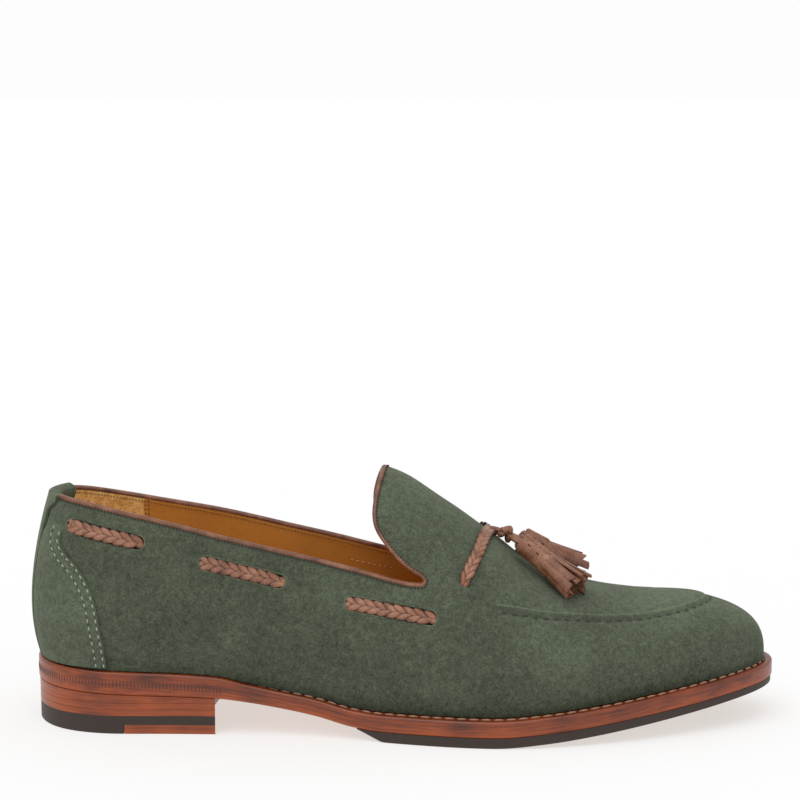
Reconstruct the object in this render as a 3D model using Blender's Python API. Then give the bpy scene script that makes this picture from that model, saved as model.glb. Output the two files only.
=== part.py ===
"""A right tassel loafer, unworn, standing on its sole.

Metres, +Z up. The origin lies on the floor under the heel's centre, +X points to the toe and
+Y to the medial side, so the lateral side is at -Y.
"""
import math
from collections import namedtuple

import bmesh
import bpy
import numpy as np

# Driving sizes of the last and the sole
SHOE_LENGTH = 0.299
HEEL_BACK = 0.033
HEEL_WIDTH = 0.066
WAIST_WIDTH = 0.064
BALL_WIDTH = 0.103
HEEL_HEIGHT = 0.0148
HEEL_BREAST = 0.041
BREAST_HOLLOW = 0.004
TOE_SPRING = 0.0140
BACK_HEIGHT = 0.0930
INSTEP_HEIGHT = 0.1020
TOE_HEIGHT = 0.0500
CONE_HEIGHT = 0.1260
HEEL_POLE = 0.005
TOE_POLE = 0.055

# Thicknesses and clearances
GAP = 0.0003
WALL = 0.0024
OUTSOLE_THICKNESS = 0.0036
WELT_THICKNESS = 0.0026
WELT_WIDTH = 0.0110
WELT_MARGIN = 0.0050
WELT_SETBACK = 0.0003
EDGE_CHAMFER = 0.0005
RUBBER_THICKNESS = 0.0040
RUBBER_START = 0.4347
RUBBER_FULL = 0.4686
INSOLE_RISE = 0.0020
TOP_PIECE_THICKNESS = 0.0037
BLACK_LIFT_THICKNESS = 0.0037
LIFT_THICKNESS = 0.0025
QUARTER_TIP = 0.005

# Overlays, binding and braid
BULGE = 0.0035
RIDGE_HEIGHT = 0.0010
RIDGE_WIDTH = 0.0032
RIDGE_START = 0.147
RIDGE_FADE = 0.006
BINDING_HEIGHT = 0.0022
BINDING_THICKNESS = 0.0034
BINDING_SEAT = 0.0005
COUNTER_THICKNESS = 0.0009
COUNTER_TOP = 0.0060
BACKSTAY_WIDTH = 0.0220
BACKSTAY_THICKNESS = 0.0011
BACKSTAY_FOLD = 0.0040
FOLD_SEAT = 0.0007
WINDOW_WIDTH = 0.0058
WINDOW_DEPTH = 0.0014
BRAID_WIDTH = 0.0052
BRAID_PITCH = 0.0050
BRAID_RELIEF = 0.0006
STRAP_WIDTH = 0.0042
STRAP_THICKNESS = 0.0020
STRAP_SEAT = 0.0004

# Tassels and the knot that holds them
HEAD_RADIUS = 0.0050
FRINGE_SPREAD = 0.0090
FRINGE_DEPTH = 0.0042
FRINGE_STRIPS = 10
STRIP_WIDTH = 0.0030
STRIP_THICKNESS = 0.0009
NECK_RADIUS = 0.0021
KNOT_RADIUS = 0.0034

# The tassel's form, as shares of the head's radius and of the fringe's length
HEAD_ROUNDING = 0.2
HEAD_TOP = 0.85
HEAD_FOOT = 0.92
CORE_RADIUS = 0.7
CORE_REACH = 0.85
STRIP_ROOT = 0.72
STRIP_STATIONS = (-0.08, 0.15, 0.5, 1.0)
STRIP_FLARE = 1.2
STRIP_NARROW = 0.8
STRIP_REACH = 0.93
STRIP_RAGGED = 0.07
RAGGED_TURN = 2.4

# Fineness of the faceted surfaces
RIBS = 36
SIDE_ROWS = 5
TOP_ROWS = 5
WELD = 1e-6
SLOPE_STEP = 0.004
CREST_BAND = 0.995
HEEL_STEPS = 14
BREAST_STEPS = 8
COLLAR_BACK = 0.02

# The sole's outline seen from above: centre line and half width at stations along the shoe,
# each as a share of the width that it follows
Outline = namedtuple("Outline", "along width centre half")
OUTLINE = (
    Outline(0.00, HEEL_WIDTH, 0.000, 0.000),
    Outline(0.0301, HEEL_WIDTH, 0.000, 0.342),
    Outline(0.1104, HEEL_WIDTH, 0.000, 0.500),
    Outline(0.1706, HEEL_WIDTH, -0.008, 0.497),
    Outline(0.2508, HEEL_WIDTH, -0.027, 0.489),
    Outline(0.3311, WAIST_WIDTH, -0.070, 0.484),
    Outline(0.4013, WAIST_WIDTH, -0.102, 0.508),
    Outline(0.4716, BALL_WIDTH, -0.078, 0.364),
    Outline(0.5418, BALL_WIDTH, -0.068, 0.427),
    Outline(0.6120, BALL_WIDTH, -0.046, 0.478),
    Outline(0.6823, BALL_WIDTH, -0.019, 0.495),
    Outline(0.7525, BALL_WIDTH, 0.002, 0.473),
    Outline(0.8227, BALL_WIDTH, 0.017, 0.420),
    Outline(0.8930, BALL_WIDTH, 0.022, 0.333),
    Outline(0.9532, BALL_WIDTH, 0.022, 0.226),
    Outline(1.00, BALL_WIDTH, 0.020, 0.000),
)

# The sole seen from the side: shares of the heel's height, of the rubber under the forepart and
# of the toe spring make up its underside; edge is the welt's thickness there
SoleLine = namedtuple("SoleLine", "along heel rubber spring edge")
SOLE_LINE = (
    SoleLine(0.000, 1.160, 0.00, 0.000, 2.00),
    SoleLine(0.0803, 1.105, 0.00, 0.000, 2.00),
    SoleLine(0.1605, 1.050, 0.00, 0.000, 2.00),
    SoleLine(0.2478, 0.990, 0.00, 0.000, 1.75),
    SoleLine(0.2910, 0.890, 0.00, 0.000, 1.20),
    SoleLine(0.3361, 0.745, 0.00, 0.000, 1.00),
    SoleLine(0.3813, 0.490, 0.30, 0.000, 1.00),
    SoleLine(0.4314, 0.130, 0.75, 0.000, 1.00),
    SoleLine(RUBBER_FULL, 0.000, 1.00, 0.000, 1.00),
    SoleLine(0.6120, 0.000, 1.00, 0.000, 1.00),
    SoleLine(0.6823, 0.000, 0.97, 0.107, 1.00),
    SoleLine(0.7525, 0.000, 0.92, 0.277, 1.00),
    SoleLine(0.8227, 0.000, 0.86, 0.478, 1.00),
    SoleLine(0.8930, 0.000, 0.78, 0.692, 1.00),
    SoleLine(0.9532, 0.000, 0.70, 0.879, 1.00),
    SoleLine(1.000, 0.000, 0.62, 1.000, 1.00),
)

# The crest of the last, from the cone above the collar to the top of the toe
Crest = namedtuple("Crest", "along height share side")
CREST = (
    Crest(0.1271, CONE_HEIGHT, 1.000, 0.000),
    Crest(0.2438, CONE_HEIGHT, 0.960, 0.010),
    Crest(0.3612, INSTEP_HEIGHT, 1.113, 0.020),
    Crest(0.4445, INSTEP_HEIGHT, 1.025, 0.025),
    Crest(0.4716, INSTEP_HEIGHT, 0.998, 0.025),
    Crest(0.5017, INSTEP_HEIGHT, 0.962, 0.022),
    Crest(0.5388, INSTEP_HEIGHT, 0.890, 0.020),
    Crest(0.5739, INSTEP_HEIGHT, 0.820, 0.018),
    Crest(0.6040, INSTEP_HEIGHT, 0.754, 0.016),
    Crest(0.6301, INSTEP_HEIGHT, 0.696, 0.014),
    Crest(0.6492, INSTEP_HEIGHT, 0.648, 0.014),
    Crest(0.6793, INSTEP_HEIGHT, 0.591, 0.014),
    Crest(0.7124, TOE_HEIGHT, 1.128, 0.014),
    Crest(0.7545, TOE_HEIGHT, 1.055, 0.015),
    Crest(0.7876, TOE_HEIGHT, 1.020, 0.017),
    Crest(0.8197, TOE_HEIGHT, 1.000, 0.018),
)

# The ribs of the last, from the feather line up to the crest: margin is the welt left showing,
# lateral and medial are the wall's swell, side and top are the powers that square the rib, and
# seam is where the apron's seam crosses it on each side
Rib = namedtuple("Rib", "along margin lateral medial side top seam_lateral seam_medial")
RIBS_TABLE = (
    Rib(0.00, 0.45, 1.00, 1.00, 2.70, 2.40, 0.46, 0.46),
    Rib(0.1104, 0.28, 0.75, 0.75, 2.55, 1.60, 0.46, 0.46),
    Rib(0.2508, 0.40, 0.90, 1.10, 2.45, 1.85, 0.45, 0.45),
    Rib(0.3311, 0.60, 1.10, 1.90, 2.40, 2.00, 0.45, 0.45),
    Rib(0.4013, 0.80, 1.20, 2.20, 2.25, 2.05, 0.45, 0.45),
    Rib(0.4716, 1.00, 1.10, 1.70, 2.10, 1.90, 0.45, 0.45),
    Rib(0.5418, 1.00, 0.90, 1.30, 2.00, 1.90, 0.450, 0.450),
    Rib(0.6120, 1.00, 0.70, 0.90, 2.10, 2.05, 0.455, 0.455),
    Rib(0.6622, 1.00, 0.62, 0.75, 2.25, 2.25, 0.513, 0.513),
    Rib(0.7124, 1.00, 0.56, 0.60, 2.35, 2.35, 0.562, 0.562),
    Rib(0.7625, 1.00, 0.50, 0.50, 2.40, 2.40, 0.600, 0.600),
    Rib(0.8328, 0.99, 0.39, 0.39, 2.41, 2.40, 0.642, 0.642),
    Rib(0.9231, 0.81, 0.13, 0.13, 2.82, 2.36, 0.662, 0.662),
    Rib(0.9732, 0.71, 0.00, 0.00, 3.03, 2.34, 0.683, 0.683),
    Rib(1.00, 0.66, 0.00, 0.00, 3.03, 2.34, 0.690, 0.690),
)

# The upper's cut edge at the collar and tongue, seen from the side, from the heel's back to the
# tongue's crest, and how far the medial side runs below it; the binding stands on it
CollarPoint = namedtuple("CollarPoint", "along height share drop")
COLLAR = (
    CollarPoint(0.000, BACK_HEIGHT, 0.974, 0.0008),
    CollarPoint(0.0351, BACK_HEIGHT, 0.972, 0.0012),
    CollarPoint(0.0763, BACK_HEIGHT, 0.957, 0.0024),
    CollarPoint(0.1344, BACK_HEIGHT, 0.917, 0.0020),
    CollarPoint(0.2017, BACK_HEIGHT, 0.866, 0.0006),
    CollarPoint(0.2679, BACK_HEIGHT, 0.813, -0.0008),
    CollarPoint(0.3351, BACK_HEIGHT, 0.763, -0.0012),
    CollarPoint(0.4003, INSTEP_HEIGHT, 0.652, -0.0014),
    CollarPoint(0.4575, INSTEP_HEIGHT, 0.611, -0.0012),
    CollarPoint(0.4957, INSTEP_HEIGHT, 0.586, -0.0008),
    CollarPoint(0.5147, INSTEP_HEIGHT, 0.580, -0.0004),
    CollarPoint(0.5247, INSTEP_HEIGHT, 0.584, -0.0002),
    CollarPoint(0.5298, INSTEP_HEIGHT, 0.609, 0.0),
    CollarPoint(0.5247, INSTEP_HEIGHT, 0.638, 0.0),
    CollarPoint(0.5137, INSTEP_HEIGHT, 0.658, 0.0),
    CollarPoint(0.4957, INSTEP_HEIGHT, 0.696, 0.0),
    CollarPoint(0.4806, INSTEP_HEIGHT, 0.743, 0.0),
    CollarPoint(0.4676, INSTEP_HEIGHT, 0.794, 0.0),
    CollarPoint(0.4635, INSTEP_HEIGHT, 0.835, 0.0),
    CollarPoint(0.4645, INSTEP_HEIGHT, 0.885, 0.0),
    CollarPoint(0.4706, INSTEP_HEIGHT, 0.953, 0.0),
    CollarPoint(0.4776, INSTEP_HEIGHT, 1.000, 0.0),
)
COLLAR_SAMPLES = 2

# The front edge of the heel counter, from the welt up, with heights as shares of the back's
CounterPoint = namedtuple("CounterPoint", "along height")
COUNTER_EDGE = (
    CounterPoint(0.1048, 0.290),
    CounterPoint(0.1010, 0.389),
    CounterPoint(0.0969, 0.459),
    CounterPoint(0.0940, 0.523),
    CounterPoint(0.0889, 0.591),
    CounterPoint(0.0797, 0.657),
    CounterPoint(0.0659, 0.721),
    CounterPoint(0.0488, 0.774),
    CounterPoint(0.0427, 0.817),
    CounterPoint(0.0455, 0.855),
    CounterPoint(0.0523, 0.903),
)

# The windows where the collar braid shows: both ends as seen from the side
Window = namedtuple("Window", "name height back back_share front front_share")
WINDOWS = (
    Window("heel", BACK_HEIGHT, 0.0505, 0.889, 0.1566, 0.816),
    Window("quarter", BACK_HEIGHT, 0.2275, 0.745, 0.3421, 0.656),
    Window("throat", INSTEP_HEIGHT, 0.4192, 0.530, 0.5404, 0.477),
)

# The middle of the vamp strap, from its lateral slot up to the crest
StrapPoint = namedtuple("StrapPoint", "along height")
STRAP = (
    StrapPoint(0.5737, 0.592),
    StrapPoint(0.5807, 0.632),
    StrapPoint(0.5888, 0.672),
    StrapPoint(0.5955, 0.703),
    StrapPoint(0.6005, 0.726),
)
STRAP_CREST = 0.6120

# Each tassel's middle line: where its head starts and ends and where its fringe ends, as places
# along, across and above as shares of the shoe's length, the ball's width and the instep's height
TasselPoint = namedtuple("TasselPoint", "along across height")
KNOT_PLACE = TasselPoint(0.6361, -0.026, 0.734)
TASSELS = (
    ("lateral", (TasselPoint(0.6562, -0.083, 0.707), TasselPoint(0.6883, -0.131, 0.636),
                 TasselPoint(0.7299, -0.212, 0.560))),
    ("medial", (TasselPoint(0.6562, 0.050, 0.696), TasselPoint(0.6900, 0.080, 0.638),
                TasselPoint(0.7355, 0.135, 0.573))),
)


def natural_curve(stations, values):
    """A smooth curve through the table's points, with no bend at its ends."""
    x = np.array(stations, dtype=float)
    y = np.array(values, dtype=float)
    h = np.diff(x)
    count = len(x)
    matrix = np.eye(count)
    right = np.zeros(count)
    for i in range(1, count - 1):
        matrix[i, i - 1:i + 2] = (h[i - 1], 2 * (h[i - 1] + h[i]), h[i])
        right[i] = 6 * ((y[i + 1] - y[i]) / h[i] - (y[i] - y[i - 1]) / h[i - 1])
    bend = np.linalg.solve(matrix, right)

    def curve(at):
        i = np.clip(np.searchsorted(x, at) - 1, 0, count - 2)
        a = (x[i + 1] - at) / h[i]
        b = (at - x[i]) / h[i]
        sag = ((a ** 3 - a) * bend[i] + (b ** 3 - b) * bend[i + 1]) * h[i] ** 2 / 6
        return a * y[i] + b * y[i + 1] + sag
    return curve


def level_curve(stations, values):
    """A curve through the table's points that never rises past them, so level runs stay level."""
    x = np.array(stations, dtype=float)
    y = np.array(values, dtype=float)
    h = np.diff(x)
    slope = np.diff(y) / h
    steep = np.zeros(len(x))
    steep[0], steep[-1] = slope[0], slope[-1]
    for i in range(1, len(x) - 1):
        if slope[i - 1] * slope[i] > 0:
            steep[i] = 2 * slope[i - 1] * slope[i] / (slope[i - 1] + slope[i])

    def curve(at):
        i = np.clip(np.searchsorted(x, at) - 1, 0, len(x) - 2)
        u = (at - x[i]) / h[i]
        return (y[i] * (1 + 2 * u) * (1 - u) ** 2 + y[i + 1] * u * u * (3 - 2 * u)
                + h[i] * (steep[i] * u * (1 - u) ** 2 - steep[i + 1] * u * u * (1 - u)))
    return curve


def place_along(share):
    """World X of a share of the shoe's length, measured from the heel's back."""
    return share * SHOE_LENGTH - HEEL_BACK


def share_at(x):
    return (x + HEEL_BACK) / SHOE_LENGTH


def turn_of(share):
    """Stations are spaced by a half turn, which crowds them where the outline rounds its ends."""
    return math.acos(min(1.0, max(-1.0, 1 - 2 * share))) / math.pi


def share_of(turn):
    return (1 - math.cos(math.pi * turn)) / 2


FINE = np.linspace(0, 1, 601)
OUTLINE_TURNS = [turn_of(row.along) for row in OUTLINE]
CENTRE = natural_curve(OUTLINE_TURNS, [row.centre * row.width for row in OUTLINE])(FINE)
HALF = natural_curve(OUTLINE_TURNS, [row.half * row.width for row in OUTLINE])(FINE)
SOLE_ALONG = [row.along for row in SOLE_LINE]
UNDERSIDE = level_curve(SOLE_ALONG, [
    row.heel * HEEL_HEIGHT + row.rubber * (RUBBER_THICKNESS + GAP) + row.spring * TOE_SPRING
    for row in SOLE_LINE])(FINE)
RUBBER_SHARE = level_curve(SOLE_ALONG, [row.rubber for row in SOLE_LINE])(FINE)
WELT_SHARE = level_curve(SOLE_ALONG, [row.edge for row in SOLE_LINE])(FINE)
CREST_ALONG = [row.along for row in CREST]
CREST_RISE = natural_curve(CREST_ALONG, [row.height * row.share for row in CREST])
CREST_SIDE = natural_curve(CREST_ALONG, [row.side * BALL_WIDTH for row in CREST])
RIB_ALONG = [row.along for row in RIBS_TABLE]
RIB_COLUMNS = {
    name: level_curve(RIB_ALONG, [getattr(row, name) for row in RIBS_TABLE])(FINE)
    for name in Rib._fields[1:]}
CREST_Z = CREST_RISE(np.clip(FINE, CREST_ALONG[0], CREST_ALONG[-1]))
CREST_Y = CREST_SIDE(np.clip(FINE, CREST_ALONG[0], CREST_ALONG[-1]))


def underside(x):
    """Height of the leather outsole's underside."""
    return float(np.interp(share_at(x), FINE, UNDERSIDE))


def outsole_top(x):
    return underside(x) + OUTSOLE_THICKNESS


def welt_bottom(x):
    return outsole_top(x) + GAP


def welt_top(x):
    return welt_bottom(x) + WELT_THICKNESS * float(np.interp(share_at(x), FINE, WELT_SHARE))


def outline_point(s):
    """A point of the sole's edge; s runs 0 at the heel to 1 at the toe, and is minus laterally."""
    s = (s + 1) % 2 - 1
    turn = abs(s)
    side = -1 if s < 0 else 1
    x = place_along(share_of(turn))
    y = float(np.interp(turn, FINE, CENTRE)) + side * float(np.interp(turn, FINE, HALF))
    return np.array((x, y))


def sole_edge(s, inset=0.0):
    """The sole's edge drawn in square to itself by the inset."""
    before, after = outline_point(s - SLOPE_STEP), outline_point(s + SLOPE_STEP)
    run = (after - before) / np.linalg.norm(after - before)
    inward = np.array((run[1], -run[0]))
    return outline_point(s) + inward * inset


def rib_value(name, s):
    return float(np.interp(share_of(abs((s + 1) % 2 - 1)), FINE, RIB_COLUMNS[name]))


def last_point(s, v):
    """A point of the upper's outer face: s as along the sole's edge, v from feather to crest."""
    s = (s + 1) % 2 - 1
    lateral = s < 0
    foot = sole_edge(s, rib_value("margin", s) * WELT_MARGIN)
    crest_x = min(max(foot[0], HEEL_POLE), place_along(1) - TOE_POLE)
    share = share_at(crest_x)
    crest = np.array((crest_x, float(np.interp(share, FINE, CREST_Y))))
    low = welt_top(foot[0]) + GAP
    high = float(np.interp(share, FINE, CREST_Z))
    angle = min(max(v, 0.0), 1.0) * math.pi / 2
    reach = max(math.cos(angle), 0.0) ** (2 / rib_value("top", s))
    rise = math.sin(angle) ** (2 / rib_value("side", s))
    out = foot - crest
    # the swell is fullest a quarter of the way up, where rise * (1 - rise) ** 3 is 27 / 256
    swell = BULGE * rib_value("lateral" if lateral else "medial", s) * 256 / 27 * rise * (1 - rise) ** 3
    plan = crest + out * reach + out / np.linalg.norm(out) * swell
    return np.array((plan[0], plan[1], low + (high - low) * rise))


def last_normal(s, v):
    """The outward normal of the upper's outer face."""
    if v > CREST_BAND:
        share = min(max(share_at(last_point(s, 1)[0]), CREST_ALONG[0]), CREST_ALONG[-1])
        ends = np.clip((share - SLOPE_STEP, share + SLOPE_STEP), CREST_ALONG[0], CREST_ALONG[-1])
        slope = np.diff(CREST_RISE(ends))[0] / (np.diff(ends)[0] * SHOE_LENGTH)
        normal = np.array((-slope, 0.0, 1.0))
        return normal / np.linalg.norm(normal)
    across = last_point(s + SLOPE_STEP, v) - last_point(s - SLOPE_STEP, v)
    up = last_point(s, min(v + SLOPE_STEP, 1)) - last_point(s, max(v - SLOPE_STEP, 0))
    normal = np.cross(up, across)
    return normal / np.linalg.norm(normal)


def lifted(s, v, height):
    return last_point(s, v) + last_normal(s, v) * height


def rib_at_height(s, z):
    """The v at which a rib reaches a height."""
    low, high = 0.0, 1.0
    for _ in range(24):
        middle = (low + high) / 2
        if last_point(s, middle)[2] < z:
            low = middle
        else:
            high = middle
    return (low + high) / 2


def seen_from_side(side, x, z):
    """The s and v of the point of the upper that shows at x and z from one side."""
    spot = np.array((turn_of(share_at(x)), 0.5))
    step = 1e-3
    for _ in range(16):
        here = last_point(side * spot[0], spot[1])
        miss = np.array((x - here[0], z - here[2]))
        if np.abs(miss).max() < 1e-7:
            break
        along = last_point(side * (spot[0] + step), spot[1])
        up = last_point(side * spot[0], spot[1] + step)
        slope = np.array(((along[0] - here[0], up[0] - here[0]), (along[2] - here[2], up[2] - here[2]))) / step
        move = np.linalg.solve(slope, miss)
        spot = np.clip(spot + np.clip(move, -0.12, 0.12), (0.005, 0.005), (0.995, 0.99))
    return side * spot[0], spot[1]


def collar_line(side, inset):
    """Points of one side's collar, drawn into the upper by the inset, each with the direction
    towards the opening."""
    points = [np.array((place_along(row.along), row.height * row.share - max(side, 0) * row.drop))
              for row in COLLAR]
    knots = [0.0]
    for near, far in zip(points, points[1:]):
        knots.append(knots[-1] + math.sqrt(np.linalg.norm(far - near)))
    curve_x = natural_curve(knots, [p[0] for p in points])
    curve_z = natural_curve(knots, [p[1] for p in points])
    line = []
    for i in range(len(knots) - 1):
        for k in range(COLLAR_SAMPLES):
            at = knots[i] + (knots[i + 1] - knots[i]) * k / COLLAR_SAMPLES
            line.append(at)
    line.append(knots[-1])
    result = []
    step = (knots[-1] - knots[0]) * 1e-4
    for at in line:
        run = np.array((curve_x(at + step) - curve_x(at - step), curve_z(at + step) - curve_z(at - step)))
        run = run / np.linalg.norm(run)
        opening = np.array((-run[1], run[0]))
        result.append((np.array((curve_x(at), curve_z(at))) - opening * inset, opening))
    return result


def collar_height(x):
    """Height of the collar at x, for its part round the heel."""
    rows = [row for row in COLLAR if row.along < WINDOWS[1].back]
    return float(np.interp(x, [place_along(row.along) for row in rows],
                           [row.height * row.share for row in rows]))


def clear_scene():
    for thing in list(bpy.data.objects):
        bpy.data.objects.remove(thing, do_unlink=True)


def finish_material(name, colour, roughness):
    material = bpy.data.materials.get(name)
    if material is None:
        material = bpy.data.materials.new(name)
        material.use_nodes = True
        shader = material.node_tree.nodes["Principled BSDF"]
        shader.inputs["Base Color"].default_value = (*colour, 1)
        shader.inputs["Roughness"].default_value = roughness
    return material


def green_nubuck():
    return finish_material("green_nubuck", (0.060, 0.085, 0.060), 0.95)


def brown_leather():
    return finish_material("brown_leather", (0.145, 0.058, 0.032), 0.45)


def sole_leather():
    return finish_material("sole_leather", (0.300, 0.085, 0.028), 0.35)


def tan_leather():
    return finish_material("tan_leather", (0.420, 0.200, 0.070), 0.55)


def black_rubber():
    return finish_material("black_rubber", (0.030, 0.024, 0.021), 0.65)


def add_object(name, mesh, material):
    """A named object from a bmesh, welded, facing out and shaded smooth except at edges."""
    bmesh.ops.remove_doubles(mesh, verts=mesh.verts, dist=WELD)
    bmesh.ops.dissolve_degenerate(mesh, dist=WELD, edges=mesh.edges)
    bmesh.ops.recalc_face_normals(mesh, faces=mesh.faces)
    bmesh.ops.triangulate(mesh, faces=mesh.faces)
    data = bpy.data.meshes.new(name)
    mesh.to_mesh(data)
    mesh.free()
    data.materials.append(material)
    thing = bpy.data.objects.new(name, data)
    bpy.context.scene.collection.objects.link(thing)
    data.shade_smooth()
    data.set_sharp_from_angle(angle=math.radians(35))
    return thing


def loft(name, sections, material, ring=False, caps=(True, True)):
    """One solid through sections, each a row of corners in the same order. An end whose section
    closes on itself takes no cap."""
    mesh = bmesh.new()
    rows = [[mesh.verts.new(corner) for corner in section] for section in sections]
    pairs = list(zip(rows, rows[1:]))
    if ring:
        pairs.append((rows[-1], rows[0]))
    for near, far in pairs:
        for j in range(len(near)):
            k = (j + 1) % len(near)
            mesh.faces.new((near[j], near[k], far[k], far[j]))
    for row, capped in zip((rows[0], rows[-1]), caps):
        if capped and not ring:
            mesh.faces.new(row)
    return add_object(name, mesh, material)


def patch(name, low, high, material):
    """A solid between two grids of points."""
    mesh = bmesh.new()
    grids = [[[mesh.verts.new(point) for point in row] for row in grid] for grid in (low, high)]
    count, width = len(low), len(low[0])
    for grid in grids:
        for i in range(count - 1):
            for j in range(width - 1):
                mesh.faces.new((grid[i][j], grid[i + 1][j], grid[i + 1][j + 1], grid[i][j + 1]))
    rim = [(i, 0) for i in range(count)] + [(count - 1, j) for j in range(1, width)]
    rim += [(i, width - 1) for i in range(count - 2, -1, -1)] + [(0, j) for j in range(width - 2, 0, -1)]
    for (i, j), (k, m) in zip(rim, rim[1:] + rim[:1]):
        mesh.faces.new((grids[0][i][j], grids[0][k][m], grids[1][k][m], grids[1][i][j]))
    return add_object(name, mesh, material)


def hide_cutter(thing):
    thing.hide_render = True
    thing.display_type = "WIRE"
    return thing


def boolean(target, tool, operation):
    modifier = target.modifiers.new(operation.lower(), "BOOLEAN")
    modifier.operation = operation
    modifier.solver = "EXACT"
    modifier.object = tool


def cut(target, cutter):
    boolean(target, hide_cutter(cutter), "DIFFERENCE")


def plan_pair(turn, inset, height):
    """The lateral and medial points of an outline, at the height that a function of x gives."""
    points = []
    for side in (-1, 1):
        x, y = sole_edge(side * turn, inset)
        points.append((x, y, height(x)))
    return points


def sole_layer(name, layers, material, first=0.0):
    """A layer of the sole: pairs of outline points, from the underside's inset up to the top's."""
    sections = []
    for i in range(RIBS + 1):
        turn = first + (1 - first) * i / RIBS
        pairs = [plan_pair(turn, inset, height) for inset, height in layers]
        sections.append([pair[0] for pair in pairs] + [pair[1] for pair in reversed(pairs)])
    return loft(name, sections, material, caps=(first > 0, False))


def make_outsole():
    sole_layer("outsole", (
        (EDGE_CHAMFER, underside),
        (0.0, lambda x: underside(x) + EDGE_CHAMFER),
        (0.0, lambda x: outsole_top(x) - EDGE_CHAMFER),
        (EDGE_CHAMFER, outsole_top)), sole_leather())


def make_welt():
    """The welt is a ring on the outsole, wide enough to stand under the upper's wall."""
    sections = []
    for i in range(2 * RIBS):
        s = -1 + i / RIBS
        rows = ((WELT_SETBACK, welt_bottom), (WELT_SETBACK, lambda x: welt_top(x) - EDGE_CHAMFER),
                (WELT_SETBACK + EDGE_CHAMFER, welt_top), (WELT_WIDTH, welt_top), (WELT_WIDTH, welt_bottom))
        section = []
        for inset, height in rows:
            x, y = sole_edge(s, inset)
            section.append((x, y, height(x)))
        sections.append(section)
    loft("welt", sections, sole_leather(), ring=True)


def make_insole():
    """The insole fills the welt's ring and spreads over it to the upper's wall."""
    sections = []
    for i in range(RIBS + 1):
        turn = i / RIBS
        spread = rib_value("margin", turn) * WELT_MARGIN + WALL + 2 * GAP
        pairs = [plan_pair(turn, WELT_WIDTH + GAP, welt_bottom),
                 plan_pair(turn, WELT_WIDTH + GAP, lambda x: welt_top(x) + GAP),
                 plan_pair(turn, spread, lambda x: welt_top(x) + GAP),
                 plan_pair(turn, spread, lambda x: welt_top(x) + INSOLE_RISE)]
        sections.append([pair[0] for pair in pairs] + [pair[1] for pair in reversed(pairs)])
    loft("insole", sections, tan_leather(), caps=(False, False))


def make_forepart_rubber():
    """The rubber half sole: it runs out in the waist and lies flat on the floor under the ball."""
    def bottom(x):
        thickness = RUBBER_THICKNESS * float(np.interp(share_at(x), FINE, RUBBER_SHARE))
        run_out = min(1.0, (share_at(x) - RUBBER_START) / (RUBBER_FULL - RUBBER_START))
        return max(0.0, underside(x) - GAP - thickness * run_out - GAP * (1 - run_out))

    def chamfer_top(x):
        depth = underside(x) - GAP - bottom(x)
        return bottom(x) + EDGE_CHAMFER * min(1.0, depth / (4 * EDGE_CHAMFER))

    sole_layer("forepart_rubber", (
        (2 * EDGE_CHAMFER, bottom),
        (EDGE_CHAMFER, chamfer_top),
        (EDGE_CHAMFER, lambda x: underside(x) - GAP)), black_rubber(), first=turn_of(RUBBER_START))


def heel_outline(back, front, hollow, inset):
    """The heel's outline between two places along the shoe, with the breast hollowed."""
    start = turn_of(share_at(back))
    end = turn_of(share_at(front))
    turns = [start + (end - start) * i / HEEL_STEPS for i in range(HEEL_STEPS + 1)]
    lateral = [tuple(sole_edge(-turn, inset)) for turn in turns]
    medial = [tuple(sole_edge(turn, inset)) for turn in reversed(turns)]
    low, high = lateral[-1], medial[0]
    breast = []
    for k in range(1, BREAST_STEPS):
        share = k / BREAST_STEPS
        x = low[0] + (high[0] - low[0]) * share - hollow * 4 * share * (1 - share)
        breast.append((x, low[1] + (high[1] - low[1]) * share))
    return lateral + breast + medial


def prism(name, outline, low, high, material):
    """A solid on an outline seen from above, between two heights worked out from x."""
    mesh = bmesh.new()
    lower = [mesh.verts.new((x, y, low(x))) for x, y in outline]
    upper = [mesh.verts.new((x, y, high(x))) for x, y in outline]
    mesh.faces.new(lower)
    mesh.faces.new(upper)
    for i in range(len(outline)):
        k = (i + 1) % len(outline)
        mesh.faces.new((lower[i], lower[k], upper[k], upper[i]))
    return add_object(name, mesh, material)


def make_heel():
    """The stacked heel: top piece in two parts, a black lift and leather lifts under the seat."""
    back = -HEEL_BACK
    top_piece = TOP_PIECE_THICKNESS
    prism("top_piece_rubber", heel_outline(back, QUARTER_TIP - GAP, 0.0, EDGE_CHAMFER),
          lambda x: 0.0, lambda x: top_piece, black_rubber())
    prism("top_piece_leather", heel_outline(QUARTER_TIP, HEEL_BREAST, BREAST_HOLLOW, EDGE_CHAMFER),
          lambda x: 0.0, lambda x: top_piece, sole_leather())
    outline = heel_outline(back, HEEL_BREAST, BREAST_HOLLOW, EDGE_CHAMFER)
    level = top_piece + BLACK_LIFT_THICKNESS
    prism("black_lift", outline, lambda x: top_piece, lambda x: level, black_rubber())
    for number in (1, 2):
        low = level
        level = low + LIFT_THICKNESS
        prism("heel_lift_%d" % number, outline, lambda x, z=low: z, lambda x, z=level: z, sole_leather())
    prism("heel_lift_3", outline, lambda x, z=level: z, lambda x: underside(x) - GAP, sole_leather())


def rib_rows(s):
    """The v of each row of a rib, with three rows on the apron's seam."""
    seam = rib_value("seam_lateral" if s < 0 else "seam_medial", s)
    step = 0.01
    length = np.linalg.norm(last_point(s, seam + step) - last_point(s, seam - step)) / (2 * step)
    half = RIDGE_WIDTH / 2 / length
    low = [(seam - half) * k / SIDE_ROWS for k in range(SIDE_ROWS + 1)]
    high = [seam + half + (1 - seam - half) * k / TOP_ROWS for k in range(TOP_ROWS + 1)]
    return low + [seam] + high


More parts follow.
